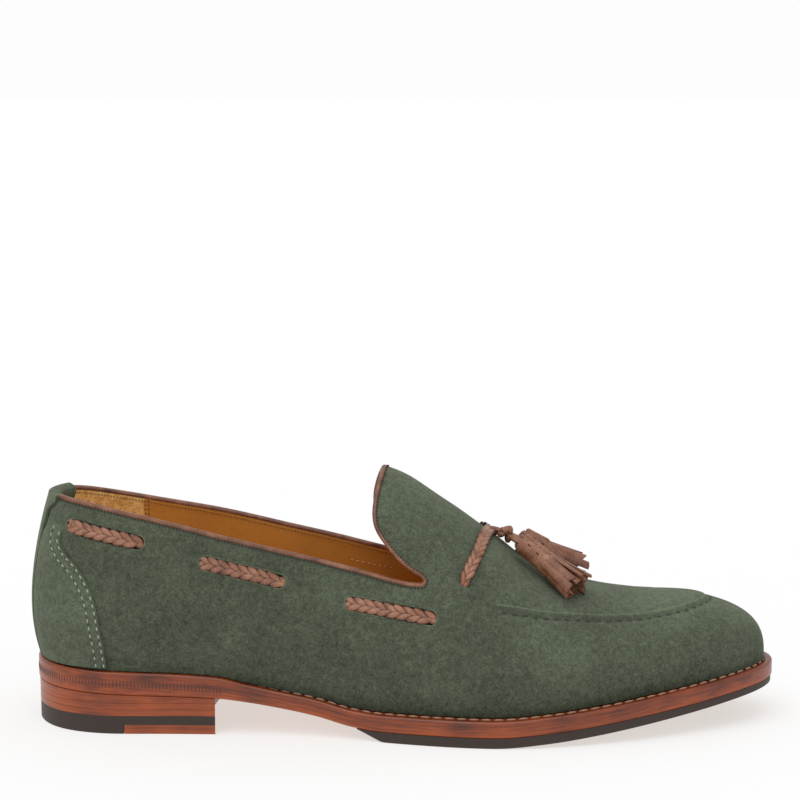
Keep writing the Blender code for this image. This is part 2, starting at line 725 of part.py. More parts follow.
def ridge_height(x):
    """The raised seam fades in at its start."""
    return RIDGE_HEIGHT * min(1.0, max(0.0, (x - RIDGE_START) / RIDGE_FADE))


def upper_rib(s):
    """The outer and inner points of one rib of the upper."""
    outer, inner = [], []
    for number, v in enumerate(rib_rows(s)):
        point, normal = last_point(s, v), last_normal(s, v)
        raised = ridge_height(point[0]) if number == SIDE_ROWS + 1 else 0.0
        outer.append(point + normal * raised)
        under = point - normal * WALL
        if number == 0:
            under[2] = welt_top(under[0]) + GAP
        inner.append(under)
    return outer, inner


def collar_cutter():
    """A block as wide as the shoe over each side's collar line."""
    above = CONE_HEIGHT + 2 * WALL
    behind = -HEEL_BACK - 4 * BULGE
    sections = []
    for side, reach in ((-1, BALL_WIDTH), (-1, GAP), (1, GAP), (1, BALL_WIDTH)):
        line = [tuple(point) for point, _ in collar_line(side, 0.0)]
        profile = [(behind, above), (behind, line[0][1])] + line + [(line[-1][0], above)]
        sections.append([(x, side * reach, z) for x, z in profile])
    return loft("collar_cutter", sections, green_nubuck())


def make_upper():
    """The upper's one hollow wall: ribs joined over the last, then the collar cut out of it."""
    sections = []
    for i in range(RIBS + 1):
        lateral_out, lateral_in = upper_rib(-i / RIBS)
        medial_out, medial_in = upper_rib(i / RIBS)
        sections.append(lateral_out + medial_out[-2::-1] + medial_in + lateral_in[-2::-1])
    upper = loft("upper", sections, green_nubuck(), caps=(False, False))
    cut(upper, collar_cutter())
    for window in WINDOWS:
        for side, word in ((-1, "lateral"), (1, "medial")):
            cutter = pill(side, window, WINDOW_WIDTH, -WINDOW_DEPTH, WALL)
            cut(upper, loft("window_cutter_%s_%s" % (word, window.name), cutter, green_nubuck()))
    return upper


def pill_stations(length, radius, pitch):
    """Places along a pill from end to end, crowded where its ends round, with half widths."""
    corners = [math.radians(angle) for angle in (25, 50, 75)]
    start = [(radius * (1 - math.cos(a)), radius * math.sin(a)) for a in corners]
    steps = max(2, round((length - 2 * radius) / pitch))
    middle = [(radius + (length - 2 * radius) * k / steps, radius) for k in range(steps + 1)]
    return start + middle + [(length - at, half) for at, half in reversed(start)]


def window_ends(window):
    """The window's ends seen from the side."""
    return (np.array((place_along(window.back), window.height * window.back_share)),
            np.array((place_along(window.front), window.height * window.front_share)))


def pill(side, window, width, low, high):
    """Sections of a pill laid on the upper between two heights above its outer face."""
    back, front = window_ends(window)
    length = np.linalg.norm(front - back)
    run = (front - back) / length
    square = np.array((-run[1], run[0]))
    sections = []
    for at, half in pill_stations(length, width / 2, BRAID_PITCH):
        section = []
        for sign, height in ((-1, low), (1, low), (1, high), (-1, high)):
            x, z = back + run * at + square * half * sign
            section.append(lifted(*seen_from_side(side, x, z), height))
        sections.append(section)
    return sections


def braid_section(left, right, up, base, top, phase):
    """One section of a flat braid: two rows of strands raised beside a groove in the middle."""
    corners = [left + up * base, right + up * base]
    for share, lead in ((1.0, 0.0), (0.75, 0.0), (0.5, None), (0.25, 0.5), (0.0, 0.5)):
        if lead is None or share in (0.0, 1.0):
            height = top - BRAID_RELIEF
        else:
            height = top - BRAID_RELIEF * 0.5 * (1 - math.cos(2 * math.pi * (phase + lead)))
        corners.append(left + (right - left) * share + up * height)
    return corners


def make_collar_braid():
    """The braid that runs round the collar shows in three windows on each side."""
    for window in WINDOWS:
        back, front = window_ends(window)
        for side, word in ((-1, "lateral"), (1, "medial")):
            length = np.linalg.norm(front - back)
            run = (front - back) / length
            square = np.array((-run[1], run[0]))
            trim = (WINDOW_WIDTH - BRAID_WIDTH) / 2
            sections = []
            for at, half in pill_stations(length - 2 * trim, BRAID_WIDTH / 2, BRAID_PITCH / 2):
                middle = back + run * (at + trim)
                left, right = (last_point(*seen_from_side(side, *(middle + square * half * sign)))
                               for sign in (-1, 1))
                up = last_normal(*seen_from_side(side, *middle))
                sections.append(braid_section(left, right, up, -WINDOW_DEPTH + GAP, BRAID_RELIEF,
                                              at / BRAID_PITCH))
            loft("collar_braid_%s_%s" % (word, window.name), sections, brown_leather())


def collar_frame(inset):
    """The collar's path on both sides: a point on the upper's outer face, the direction towards
    the opening and the direction out through the wall."""
    lateral, medial = [], []
    for side, path in ((-1, lateral), (1, medial)):
        for (x, z), opening in collar_line(side, inset):
            if x < place_along(COLLAR_BACK):
                continue
            s, v = seen_from_side(side, x, z)
            up = np.array((opening[0], 0.0, opening[1]))
            out = last_normal(s, v)
            out = out - up * np.dot(out, up)
            path.append((last_point(s, v), up, out / np.linalg.norm(out)))
    return lateral + medial[::-1]


def make_binding():
    """The rolled leather binding stands on the upper's cut edge all along the collar."""
    sections = []
    half = BINDING_THICKNESS / 2
    rise = BINDING_HEIGHT / 2
    profile = [(math.cos(math.radians(a)), math.sin(math.radians(a))) for a in (0, 60, 120, 180)]
    for point, up, out in collar_frame(-rise - BINDING_SEAT):
        centre = point - out * WALL / 2
        section = [centre - out * half - up * rise, centre + out * half - up * rise]
        section += [centre + out * half * c + up * rise * s for c, s in profile]
        sections.append(section)
    loft("collar_binding", sections, brown_leather())


def heel_side(side, height, reach):
    """The s at which the heel's face lies the reach away from the back seam, at a height."""
    low, high = 0.0, turn_of(share_at(HEEL_POLE))
    for _ in range(20):
        middle = (low + high) / 2
        y = last_point(side * middle, rib_at_height(side * middle, height))[1]
        if abs(y) < reach:
            low = middle
        else:
            high = middle
    return side * (low + high) / 2


def counter_top(x):
    return collar_height(x) - COUNTER_TOP


def make_counter():
    """Two panels sewn over the back of the quarters, from the backstay to a curved front edge."""
    heights = [row.height * BACK_HEIGHT for row in COUNTER_EDGE]
    front_x = level_curve(heights, [place_along(row.along) for row in COUNTER_EDGE])
    rows, columns = 9, 6
    back_low = welt_top(-HEEL_BACK) + 2 * GAP
    back_high = counter_top(place_along(0.03))
    for side, word in ((-1, "lateral"), (1, "medial")):
        low, high = [], []
        for k in range(rows + 1):
            front_z = heights[0] + (heights[-1] - heights[0]) * k / rows
            back_z = back_low + (back_high - back_low) * k / rows
            front = seen_from_side(side, float(front_x(front_z)), front_z)[0]
            back = heel_side(side, back_z, BACKSTAY_WIDTH / 2 + GAP)
            spots = []
            for j in range(columns + 1):
                s = back + (front - back) * j / columns
                spots.append((s, rib_at_height(s, back_z + (front_z - back_z) * j / columns)))
            low.append([lifted(s, v, GAP) for s, v in spots])
            high.append([lifted(s, v, GAP + COUNTER_THICKNESS) for s, v in spots])
        patch("heel_counter_%s" % word, low, high, green_nubuck())


def make_backstay():
    """The strip over the back seam runs up from the welt, over the collar and down inside."""
    rows, columns = 8, 6
    sections = []
    outer_face = GAP + BACKSTAY_THICKNESS
    inner_back_face = -WALL - FOLD_SEAT
    inner_face = inner_back_face - BACKSTAY_THICKNESS
    for j in range(columns + 1):
        reach = BACKSTAY_WIDTH / 2 * (2 * j / columns - 1)
        side = -1 if reach < 0 else 1

        def spot(height):
            s = heel_side(side, height, abs(reach)) if abs(reach) > GAP else 0.0
            return s, rib_at_height(s, height)
        back = place_along(COLLAR_BACK)
        low = welt_top(-HEEL_BACK) + 2 * GAP
        rim = collar_height(back)
        fold = rim - BACKSTAY_FOLD
        climb = [spot(low + (rim - low) * k / rows) for k in range(rows + 1)]
        inside = [spot(fold + (rim - fold) * k / 2) for k in range(3)]
        crown = spot(rim + BINDING_HEIGHT)
        under = spot(rim + GAP)

        def level(point, height):
            return np.array((point[0], point[1], height))
        outer = [lifted(s, v, outer_face) for s, v in climb]
        top = [level(lifted(*crown, outer_face - BACKSTAY_THICKNESS / 2), rim + BINDING_HEIGHT),
               level(lifted(*crown, inner_face + BACKSTAY_THICKNESS / 2), rim + BINDING_HEIGHT)]
        inner = [lifted(s, v, inner_face) for s, v in inside[::-1]]
        inner_back = [lifted(s, v, inner_back_face) for s, v in inside[:-1]]
        arch = [level(lifted(*under, inner_back_face), rim + 2 * GAP), level(lifted(*under, GAP), rim + 2 * GAP)]
        outer_back = [lifted(s, v, GAP) for s, v in climb[-2::-1]]
        sections.append(outer + top + inner + inner_back + arch + outer_back)
    loft("backstay", sections, green_nubuck())


def strap_line():
    """The strap's middle line over the vamp: points on the upper and its outward normals."""
    spots = [seen_from_side(-1, place_along(row.along), row.height * INSTEP_HEIGHT) for row in STRAP]
    crest = (turn_of(STRAP_CREST), 1.0)
    both = spots + [(-crest[0], crest[1])]
    knots = list(range(len(both)))
    turns = natural_curve(knots, [abs(s) for s, _ in both])
    shares = natural_curve(knots, [v for _, v in both])
    steps = 12
    line = []
    for side in (-1, 1):
        half = []
        for k in range(steps + (side < 0)):
            at = knots[-1] * k / steps
            s, v = side * float(turns(at)), min(float(shares(at)), 1.0)
            half.append((last_point(s, v), last_normal(s, v)))
        line += half if side < 0 else half[::-1]
    return line


def make_strap():
    """The braided strap that crosses the vamp from slot to slot."""
    line = strap_line()
    travel = 0.0
    sections = []
    for i, (point, up) in enumerate(line):
        before, after = line[max(i - 1, 0)][0], line[min(i + 1, len(line) - 1)][0]
        if i:
            travel += np.linalg.norm(point - before)
        run = (after - before) / np.linalg.norm(after - before)
        across = np.cross(run, up)
        across = across / np.linalg.norm(across) * STRAP_WIDTH / 2
        sections.append(braid_section(point - across, point + across, up, STRAP_SEAT,
                                      STRAP_SEAT + STRAP_THICKNESS, travel / BRAID_PITCH))
    loft("vamp_strap", sections, brown_leather())


def in_place(point):
    return np.array((place_along(point.along), point.across * BALL_WIDTH, point.height * INSTEP_HEIGHT))


def round_sections(path, radii, corners):
    """Sections of a round bar along a path."""
    sections = []
    for i, (point, radius) in enumerate(zip(path, radii)):
        run = path[min(i + 1, len(path) - 1)] - path[max(i - 1, 0)]
        run = run / np.linalg.norm(run)
        across = np.cross(run, (0.0, 0.0, 1.0))
        across = across / np.linalg.norm(across)
        up = np.cross(across, run)
        sections.append([point + (across * math.cos(a) + up * math.sin(a)) * radius
                         for a in (2 * math.pi * k / corners for k in range(corners))])
    return sections


def make_knot():
    """The knot on the crest, with the two cords that the tassels hang from."""
    centre = in_place(KNOT_PLACE)
    mesh = bmesh.new()
    bmesh.ops.create_icosphere(mesh, subdivisions=2, radius=KNOT_RADIUS)
    bmesh.ops.translate(mesh, vec=centre, verts=mesh.verts)
    knot = add_object("tassel_knot", mesh, brown_leather())
    for word, points in TASSELS:
        start, waist = in_place(points[0]), in_place(points[1])
        run = (waist - start) / np.linalg.norm(waist - start)
        path = [centre, start - run * HEAD_RADIUS / 2, start - run * 2 * GAP]
        neck = loft("neck_%s" % word, round_sections(path, [NECK_RADIUS] * 3, 8), brown_leather())
        boolean(knot, hide_cutter(neck), "UNION")


def make_tassel(word, points):
    """One tassel: a rolled head with a core, and leather strips that fan out below it."""
    start, waist, end = (in_place(point) for point in points)
    head_run = (waist - start) / np.linalg.norm(waist - start)
    run = (end - waist) / np.linalg.norm(end - waist)
    across = np.cross(run, (0.0, 0.0, 1.0))
    across = across / np.linalg.norm(across)
    up = np.cross(across, run)
    length = np.linalg.norm(end - waist)
    rounding = head_run * HEAD_RADIUS * HEAD_ROUNDING
    path = [start, start + rounding, waist - rounding, waist,
            waist + run * GAP, waist + run * length * CORE_REACH]
    radii = [HEAD_RADIUS * share for share in (HEAD_TOP, 1, 1, HEAD_FOOT, CORE_RADIUS, CORE_RADIUS)]
    tassel = loft("tassel_%s" % word, round_sections(path, radii, 12), brown_leather())
    root = HEAD_RADIUS * STRIP_ROOT
    for k in range(FRINGE_STRIPS):
        angle = 2 * math.pi * (k + 0.5) / FRINGE_STRIPS
        around = across * math.cos(angle) + up * math.sin(angle)
        wide = across * FRINGE_SPREAD * math.cos(angle) + up * FRINGE_DEPTH * math.sin(angle)
        tangent = np.cross(run, around)
        reach = length * (STRIP_REACH + STRIP_RAGGED * math.cos(RAGGED_TURN * k))
        sections = []
        for share in STRIP_STATIONS:
            spread = max(share, 0.0) ** STRIP_FLARE
            middle = waist + run * reach * share + around * root * (1 - spread) + wide * spread
            breadth = tangent * STRIP_WIDTH / 2 * (STRIP_NARROW + (1 - STRIP_NARROW) * spread)
            depth = around * STRIP_THICKNESS / 2
            sections.append([middle - breadth - depth, middle + breadth - depth,
                             middle + breadth + depth, middle - breadth + depth])
        strip = loft("strip_%s_%d" % (word, k), sections, brown_leather())
        boolean(tassel, hide_cutter(strip), "UNION")


def main():
    clear_scene()
    make_outsole()
    make_welt()
    make_insole()
    make_forepart_rubber()
    make_heel()
    make_upper()
    make_counter()
    make_backstay()
    make_collar_braid()
    make_binding()
    make_strap()
    make_knot()
    for word, points in TASSELS:
        make_tassel(word, points)


main()
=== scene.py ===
"""A right tassel loafer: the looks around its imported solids. Metres, +X to the toe, lateral side at -Y."""
import math

import bmesh
import bpy
import numpy as np
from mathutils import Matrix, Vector


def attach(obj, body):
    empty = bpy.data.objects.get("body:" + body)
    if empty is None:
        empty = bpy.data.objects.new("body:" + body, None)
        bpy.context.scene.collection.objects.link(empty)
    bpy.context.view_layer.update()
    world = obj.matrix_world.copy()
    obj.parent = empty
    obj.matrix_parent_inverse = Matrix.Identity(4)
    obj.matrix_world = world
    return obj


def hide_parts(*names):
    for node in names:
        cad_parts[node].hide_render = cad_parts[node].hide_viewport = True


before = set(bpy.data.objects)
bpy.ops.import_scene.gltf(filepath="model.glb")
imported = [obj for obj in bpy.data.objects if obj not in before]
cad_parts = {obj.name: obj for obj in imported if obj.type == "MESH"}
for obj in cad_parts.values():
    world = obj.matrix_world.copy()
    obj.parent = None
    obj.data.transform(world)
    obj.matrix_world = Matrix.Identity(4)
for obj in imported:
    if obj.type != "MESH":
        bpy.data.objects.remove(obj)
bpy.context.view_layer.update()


# Outsole: one layer of sole leather under the whole shoe. Its edge is trimmed square, dyed
# orange-brown and burnished with a hot iron, which leaves streaks that run along it.
SHOE_LENGTH = 0.299
HEEL_BACK = 0.033
HEEL_WIDTH = 0.066
WAIST_WIDTH = 0.064
BALL_WIDTH = 0.103
HEEL_HEIGHT = 0.0148
TOE_SPRING = 0.0140
GAP = 0.0003
OUTSOLE_THICKNESS = 0.0036
RUBBER_THICKNESS = 0.0040
EDGE_ROUND = 0.0005
# along, width that the row follows, centre and half width as shares of it
OUTLINE = (
    (0.00, HEEL_WIDTH, 0.000, 0.000), (0.0301, HEEL_WIDTH, 0.000, 0.342), (0.1104, HEEL_WIDTH, 0.000, 0.500),
    (0.1706, HEEL_WIDTH, -0.008, 0.497), (0.2508, HEEL_WIDTH, -0.027, 0.489),
    (0.3311, WAIST_WIDTH, -0.070, 0.484), (0.4013, WAIST_WIDTH, -0.102, 0.508),
    (0.4716, BALL_WIDTH, -0.078, 0.364), (0.5418, BALL_WIDTH, -0.068, 0.427),
    (0.6120, BALL_WIDTH, -0.046, 0.478), (0.6823, BALL_WIDTH, -0.019, 0.495),
    (0.7525, BALL_WIDTH, 0.002, 0.473), (0.8227, BALL_WIDTH, 0.017, 0.420),
    (0.8930, BALL_WIDTH, 0.022, 0.333), (0.9532, BALL_WIDTH, 0.022, 0.226), (1.00, BALL_WIDTH, 0.020, 0.000))
# along, shares of the heel's height, of the rubber and of the toe spring, thickness of the welt
SOLE_LINE = (
    (0.000, 1.160, 0.00, 0.000, 2.00), (0.0803, 1.105, 0.00, 0.000, 2.00),
    (0.1605, 1.050, 0.00, 0.000, 2.00), (0.2478, 0.990, 0.00, 0.000, 1.75),
    (0.2910, 0.890, 0.00, 0.000, 1.20), (0.3361, 0.745, 0.00, 0.000, 1.00),
    (0.3813, 0.490, 0.30, 0.000, 1.00), (0.4314, 0.130, 0.75, 0.000, 1.00),
    (0.4686, 0.000, 1.00, 0.000, 1.00), (0.6120, 0.000, 1.00, 0.000, 1.00),
    (0.6823, 0.000, 0.97, 0.107, 1.00), (0.7525, 0.000, 0.92, 0.277, 1.00),
    (0.8227, 0.000, 0.86, 0.478, 1.00), (0.8930, 0.000, 0.78, 0.692, 1.00),
    (0.9532, 0.000, 0.70, 0.879, 1.00), (1.000, 0.000, 0.62, 1.000, 1.00))


def fair_curve(stations, values):
    """A smooth curve through a table's points, with no bend at its ends."""
    x, y = np.array(stations, float), np.array(values, float)
    h = np.diff(x)
    matrix, right = np.eye(len(x)), np.zeros(len(x))
    for i in range(1, len(x) - 1):
        matrix[i, i - 1:i + 2] = (h[i - 1], 2 * (h[i - 1] + h[i]), h[i])
        right[i] = 6 * ((y[i + 1] - y[i]) / h[i] - (y[i] - y[i - 1]) / h[i - 1])
    bend = np.linalg.solve(matrix, right)

    def curve(at):
        i = np.clip(np.searchsorted(x, at) - 1, 0, len(x) - 2)
        a, b = (x[i + 1] - at) / h[i], (at - x[i]) / h[i]
        sag = ((a ** 3 - a) * bend[i] + (b ** 3 - b) * bend[i + 1]) * h[i] ** 2 / 6
        return a * y[i] + b * y[i + 1] + sag
    return curve


def level_curve(stations, values):
    """A curve through a table's points that stays level where they are level."""
    x, y = np.array(stations, float), np.array(values, float)
    h = np.diff(x)
    slope = np.diff(y) / h
    steep = np.concatenate((slope[:1], np.zeros(len(x) - 2), slope[-1:]))
    for i in range(1, len(x) - 1):
        if slope[i - 1] * slope[i] > 0:
            steep[i] = 2 * slope[i - 1] * slope[i] / (slope[i - 1] + slope[i])

    def curve(at):
        i = np.clip(np.searchsorted(x, at) - 1, 0, len(x) - 2)
        u = (at - x[i]) / h[i]
        return (y[i] * (1 + 2 * u) * (1 - u) ** 2 + y[i + 1] * u * u * (3 - 2 * u)
                + h[i] * (steep[i] * u * (1 - u) ** 2 - steep[i + 1] * u * u * (1 - u)))
    return curve


def turn_of(share):
    """Stations are crowded where the outline rounds its ends."""
    return np.arccos(np.clip(1 - 2 * np.asarray(share), -1, 1)) / math.pi


def share_of(turn):
    return (1 - np.cos(math.pi * np.asarray(turn))) / 2


def along_at(x):
    return (np.asarray(x) + HEEL_BACK) / SHOE_LENGTH


def place_along(share):
    return np.asarray(share) * SHOE_LENGTH - HEEL_BACK


def unit(vectors):
    return vectors / np.linalg.norm(vectors, axis=-1, keepdims=True)


FINE = np.linspace(0, 1, 1201)
SLOPE_STEP = 0.004
along, width, centre, half = (np.array(column) for column in zip(*OUTLINE))
CENTRE = fair_curve(turn_of(along), centre * width)(FINE)
HALF = fair_curve(turn_of(along), half * width)(FINE)
along, heel, rubber, spring, edge = (np.array(column) for column in zip(*SOLE_LINE))
heights = heel * HEEL_HEIGHT + rubber * (RUBBER_THICKNESS + GAP) + spring * TOE_SPRING
UNDERSIDE = level_curve(along, heights)(FINE)
WELT_SHARE = level_curve(along, edge)(FINE)


def underside(x):
    return np.interp(along_at(x), FINE, UNDERSIDE)


def outsole_top(x):
    return underside(x) + OUTSOLE_THICKNESS + GAP


def sole_edge(s, inset=0.0):
    """The sole's edge seen from above, drawn in by the inset. s runs from 0 at the heel to 1 at the
    toe, and is minus on the lateral side."""
    def edge_point(s):
        s = (s + 1) % 2 - 1
        side = np.where(s < 0, -1, 1)
        y = np.interp(abs(s), FINE, CENTRE) + side * np.interp(abs(s), FINE, HALF)
        return np.stack((place_along(share_of(abs(s))), y), -1)
    s = np.asarray(s, float)
    run = unit(edge_point(s + SLOPE_STEP) - edge_point(s - SLOPE_STEP))
    inward = np.stack((run[..., 1], -run[..., 0]), -1)
    return edge_point(s) + inward * np.asarray(inset)[..., None]


def lay(name, columns, rows, place, material, thickness=0.0, sharp=35):
    """A sheet laid on a form. place takes the shares along and across the sheet of all its corners
    and gives their points; the shares are kept in the UV map."""
    sheet = bmesh.new()
    bmesh.ops.create_grid(sheet, x_segments=columns, y_segments=rows, size=0.5)
    shares = np.clip(np.array([corner.co[:2] for corner in sheet.verts]) + 0.5, 0, 1)
    uv = sheet.loops.layers.uv.new("laid")
    for face in sheet.faces:
        for loop in face.loops:
            loop[uv].uv = shares[loop.vert.index]
    for corner, point in zip(sheet.verts, place(shares[:, 0], shares[:, 1])):
        corner.co = point
    bmesh.ops.remove_doubles(sheet, verts=sheet.verts, dist=1e-6)
    bmesh.ops.dissolve_degenerate(sheet, edges=sheet.edges, dist=1e-6)
    bmesh.ops.recalc_face_normals(sheet, faces=sheet.faces)
    return make_piece(name, sheet, material, thickness, sharp)


def make_piece(name, sheet, material, thickness=0.0, sharp=35):
    """A mesh made into a piece of the shoe, with its leather's thickness laid to the inside."""
    mesh = bpy.data.meshes.new(name)
    sheet.to_mesh(mesh)
    sheet.free()
    piece = bpy.data.objects.new(name, mesh)
    bpy.context.scene.collection.objects.link(piece)
    mesh.materials.append(material)
    mesh.shade_smooth()
    mesh.set_sharp_from_angle(angle=math.radians(sharp))
    if thickness:
        wall = piece.modifiers.new("wall", "SOLIDIFY")
        wall.thickness = thickness
        wall.offset = -1
        settle(piece, sharp)
    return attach(piece, "root")


def settle(piece, sharp=35):
    """Makes a piece's modifiers part of its mesh."""
    graph = bpy.context.evaluated_depsgraph_get()
    mesh = bpy.data.meshes.new_from_object(piece.evaluated_get(graph))
    piece.modifiers.clear()
    piece.data = mesh
    mesh.shade_smooth()
    mesh.set_sharp_from_angle(angle=math.radians(sharp))


class Signal:
    """A value that changes over a surface. Sums on it add Math nodes to its material."""

    def __init__(self, tree, socket=None):
        self.tree = tree
        self.socket = socket

    def node(self, kind, settings=None, inputs=None, output=0):
        """Adds a node of any kind: its settings first, then the values or links of its sockets."""
        made = self.tree.nodes.new(kind)
        for name, value in (settings or {}).items():
            if name == "stops":
                stops = made.color_ramp.elements
                stops.remove(stops[-1])
                for number, (spot, shade) in enumerate(value):
                    stop = stops.new(spot) if number else stops[0]
                    stop.position = spot
                    stop.color = (*shade, 1) if isinstance(shade, tuple) else (shade, shade, shade, 1)
            else:
                setattr(made, name, value)
        for name, value in (inputs or {}).items():
            if isinstance(value, Signal):
                self.tree.links.new(value.socket, made.inputs[name])
            else:
                made.inputs[name].default_value = value
        return Signal(self.tree, made.outputs[output])

    def sum(self, operation, other, swap=False):
        pair = (other, self) if swap else (self, other)
        return self.node("ShaderNodeMath", {"operation": operation}, dict(enumerate(pair)))

    def __add__(self, other):
        return self.sum("ADD", other)

    def __sub__(self, other):
        return self.sum("SUBTRACT", other)

    def __rsub__(self, other):
        return self.sum("SUBTRACT", other, True)

    def __mul__(self, other):
        return self.sum("MULTIPLY", other)

    __radd__, __rmul__ = __add__, __mul__

    def ramp(self, *stops):
        """A value or a colour for each value, from (place, shade) pairs."""
        return self.node("ShaderNodeValToRGB", {"stops": stops}, {0: self})

    def tint(self, low, high):
        """Two colours, or two colour signals, blended by the value."""
        return self.node("ShaderNodeMix", {"data_type": "RGBA"}, {0: self, 6: low, 7: high}, 2)

    def noise(self, scale, detail=2.0, roughness=0.5, stretch=(1, 1, 1)):
        """Noise on this place signal, with features about 1 / scale across."""
        spot = self.node("ShaderNodeVectorMath", {"operation": "MULTIPLY"}, {0: self, 1: stretch})
        return self.node("ShaderNodeTexNoise", {}, {"Vector": spot, "Scale": scale, "Detail": detail,
                                                    "Roughness": roughness})


def finish_of(name, roughness=0.5, **constants):
    """A new material: its place signal, and a function that sets the shader's changing sockets."""
    material = bpy.data.materials.new(name)
    material.use_nodes = True
    tree = material.node_tree
    shader = tree.nodes["Principled BSDF"]
    shader.inputs["Roughness"].default_value = roughness
    for socket, value in constants.items():
        shader.inputs[socket.replace("_", " ").title().replace("Ior", "IOR")].default_value = value
    place = Signal(tree).node("ShaderNodeTexCoord", output=3)

    def wear(colour=None, relief=None, depth=0.0002, strength=0.5, **signals):
        if colour is not None:
            tree.links.new(colour.socket, shader.inputs["Base Color"])
        if relief is not None:
            sockets = {"Strength": strength, "Distance": depth, "Height": relief}
            bump = place.node("ShaderNodeBump", {}, sockets)
            tree.links.new(bump.socket, shader.inputs["Normal"])
        for socket, signal in signals.items():
            tree.links.new(signal.socket, shader.inputs[socket.replace("_", " ").title()])
    return material, place, wear


EDGE_ORANGE = (0.315, 0.058, 0.006)
EDGE_BROWN = (0.180, 0.030, 0.004)
EDGE_DARK = (0.060, 0.011, 0.002)


def paint(piece, name, values_at):
    """Keeps a value for each corner of a piece, worked out from the corners' places."""
    places = np.empty(len(piece.data.vertices) * 3)
    piece.data.vertices.foreach_get("co", places)
    attribute = piece.data.attributes.new(name, "FLOAT", "POINT")
    attribute.data.foreach_set("value", values_at(places.reshape(-1, 3)).astype(np.float32))


def painted(place, name):
    return place.node("ShaderNodeAttribute", {"attribute_name": name}, output=2)


def burnished_leather(name, place_of, stretch):
    """Burnished edge leather with streaks: place_of gives the place that the streaks follow, and the
    rise attribute darkens its upper layers."""
    material, place, wear = finish_of(name, 0.33, coat_weight=0.12, coat_roughness=0.22)
    spot = place_of(place)
    streak, fine = spot.noise(1.0, 4.0, 0.62, stretch), spot.noise(3.1, 3.0, 0.6, stretch)
    tone = streak * 0.62 + fine * 0.22 + place.noise(60, 2.0) * 0.36 - painted(place, "rise") * 0.13
    colour = tone.ramp((0.34, EDGE_DARK), (0.48, EDGE_BROWN), (0.64, EDGE_ORANGE), (0.90, EDGE_ORANGE))
    wear(colour, streak, 0.0003, 0.22, roughness=0.20 + streak * 0.30)
    return material


def laid_place(place):
    """The sheet's own UV map as a place."""
    return place.node("ShaderNodeUVMap", {"uv_map": "laid"})


sole_edge_leather = burnished_leather("sole_edge_leather", laid_place, (34.0, 26.0, 1.0))


# side, inset from the edge, 0 for the underside or 1 for the top, rise
OUTSOLE_SECTION = (
    (-1, EDGE_ROUND, 0, 0.0), (-1, 0.0, 0, EDGE_ROUND), (-1, 0.0, 1, 0.0), (1, 0.0, 1, 0.0),
    (1, 0.0, 0, EDGE_ROUND), (1, EDGE_ROUND, 0, 0.0), (-1, EDGE_ROUND, 0, 0.0))


def across_sole(section, low, high, first=0.0):
    """A place function for a layer of the sole that has the same section from heel to toe."""
    def layer_points(u, w):
        number = np.rint(w * (len(section) - 1)).astype(int)
        side, inset, top, rise = np.array(section)[number].T
        x, y = sole_edge(side * np.maximum(first + (1 - first) * u, 1e-6), inset).T
        return np.stack((x, y, np.where(top, high(x), low(x)) + rise), -1)
    return layer_points


def edge_rise(places):
    """0 at the outsole's underside and 1 at its top and above."""
    return np.clip((places[:, 2] - underside(places[:, 0])) / OUTSOLE_THICKNESS, 0, 1)


outsole = lay("outsole_dressed", 240, len(OUTSOLE_SECTION) - 1,
              across_sole(OUTSOLE_SECTION, underside, outsole_top), sole_edge_leather)
paint(outsole, "rise", edge_rise)
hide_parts("outsole")


# Welt: a leather strip stitched round the outsole, twice as thick at the heel seat. Its outer
# corner is rounded and polished, and its top has a groove for the stitches beside the upper.
WELT_THICKNESS = 0.0026
WELT_WIDTH = 0.0110
STITCH_GROOVE = 0.0036


def welt_bottom(x):
    return underside(x) + OUTSOLE_THICKNESS + GAP


def welt_top(x):
    return welt_bottom(x) + WELT_THICKNESS * np.interp(along_at(x), FINE, WELT_SHARE)


# inset from the sole's edge, 0 for the bottom or 1 for the top, rise
WELT_SECTION = (
    (WELT_WIDTH, 0, 0.0), (0.0, 0, 0.0), (0.0, 1, -0.0012), (0.0001, 1, -0.0007), (0.0005, 1, -0.0002),
    (0.0011, 1, 0.0), (STITCH_GROOVE - 0.0009, 1, 0.0), (STITCH_GROOVE - 0.0005, 1, -0.0003),
    (STITCH_GROOVE, 1, -0.0005), (STITCH_GROOVE + 0.0005, 1, -0.0003), (STITCH_GROOVE + 0.0009, 1, -0.0001),
    (WELT_WIDTH, 1, -0.0001), (WELT_WIDTH, 0, 0.0))


def welt_points(u, w):
    number = np.rint(w * (len(WELT_SECTION) - 1)).astype(int)
    inset, top, rise = np.array(WELT_SECTION)[number].T
    x, y = sole_edge(2 * u - 1, inset).T
    return np.stack((x, y, np.where(top, welt_top(x), welt_bottom(x)) + rise), -1)


welt = lay("welt_dressed", 420, len(WELT_SECTION) - 1, welt_points, sole_edge_leather, sharp=50)
paint(welt, "rise", edge_rise)
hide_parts("welt")


# Welt stitching: waxed light-brown thread, 4.8 mm a stitch, from the waist round the toe on both
# sides; each stitch shows as a short plump dash in the groove.
def repeat(form, count):
    """A mesh with count copies of a form, one after the other in the order of its corners."""
    single = bpy.data.meshes.new("single")
    form.to_mesh(single)
    form.free()
    copies = bmesh.new()
    for _ in range(count):
        copies.from_mesh(single)
    bpy.data.meshes.remove(single)
    return copies


def scatter(name, form, points, frames, material):
    """One piece with a copy of a form at each point, drawn along the three directions of its frame."""
    corners = np.array([corner.co[:] for corner in form.verts])
    form = repeat(form, len(points))
    places = np.einsum("kc,nca->nka", corners, frames) + points[:, None]
    for corner, place in zip(form.verts, places.reshape(-1, 3)):
        corner.co = place
    return make_piece(name, form, material, sharp=60)


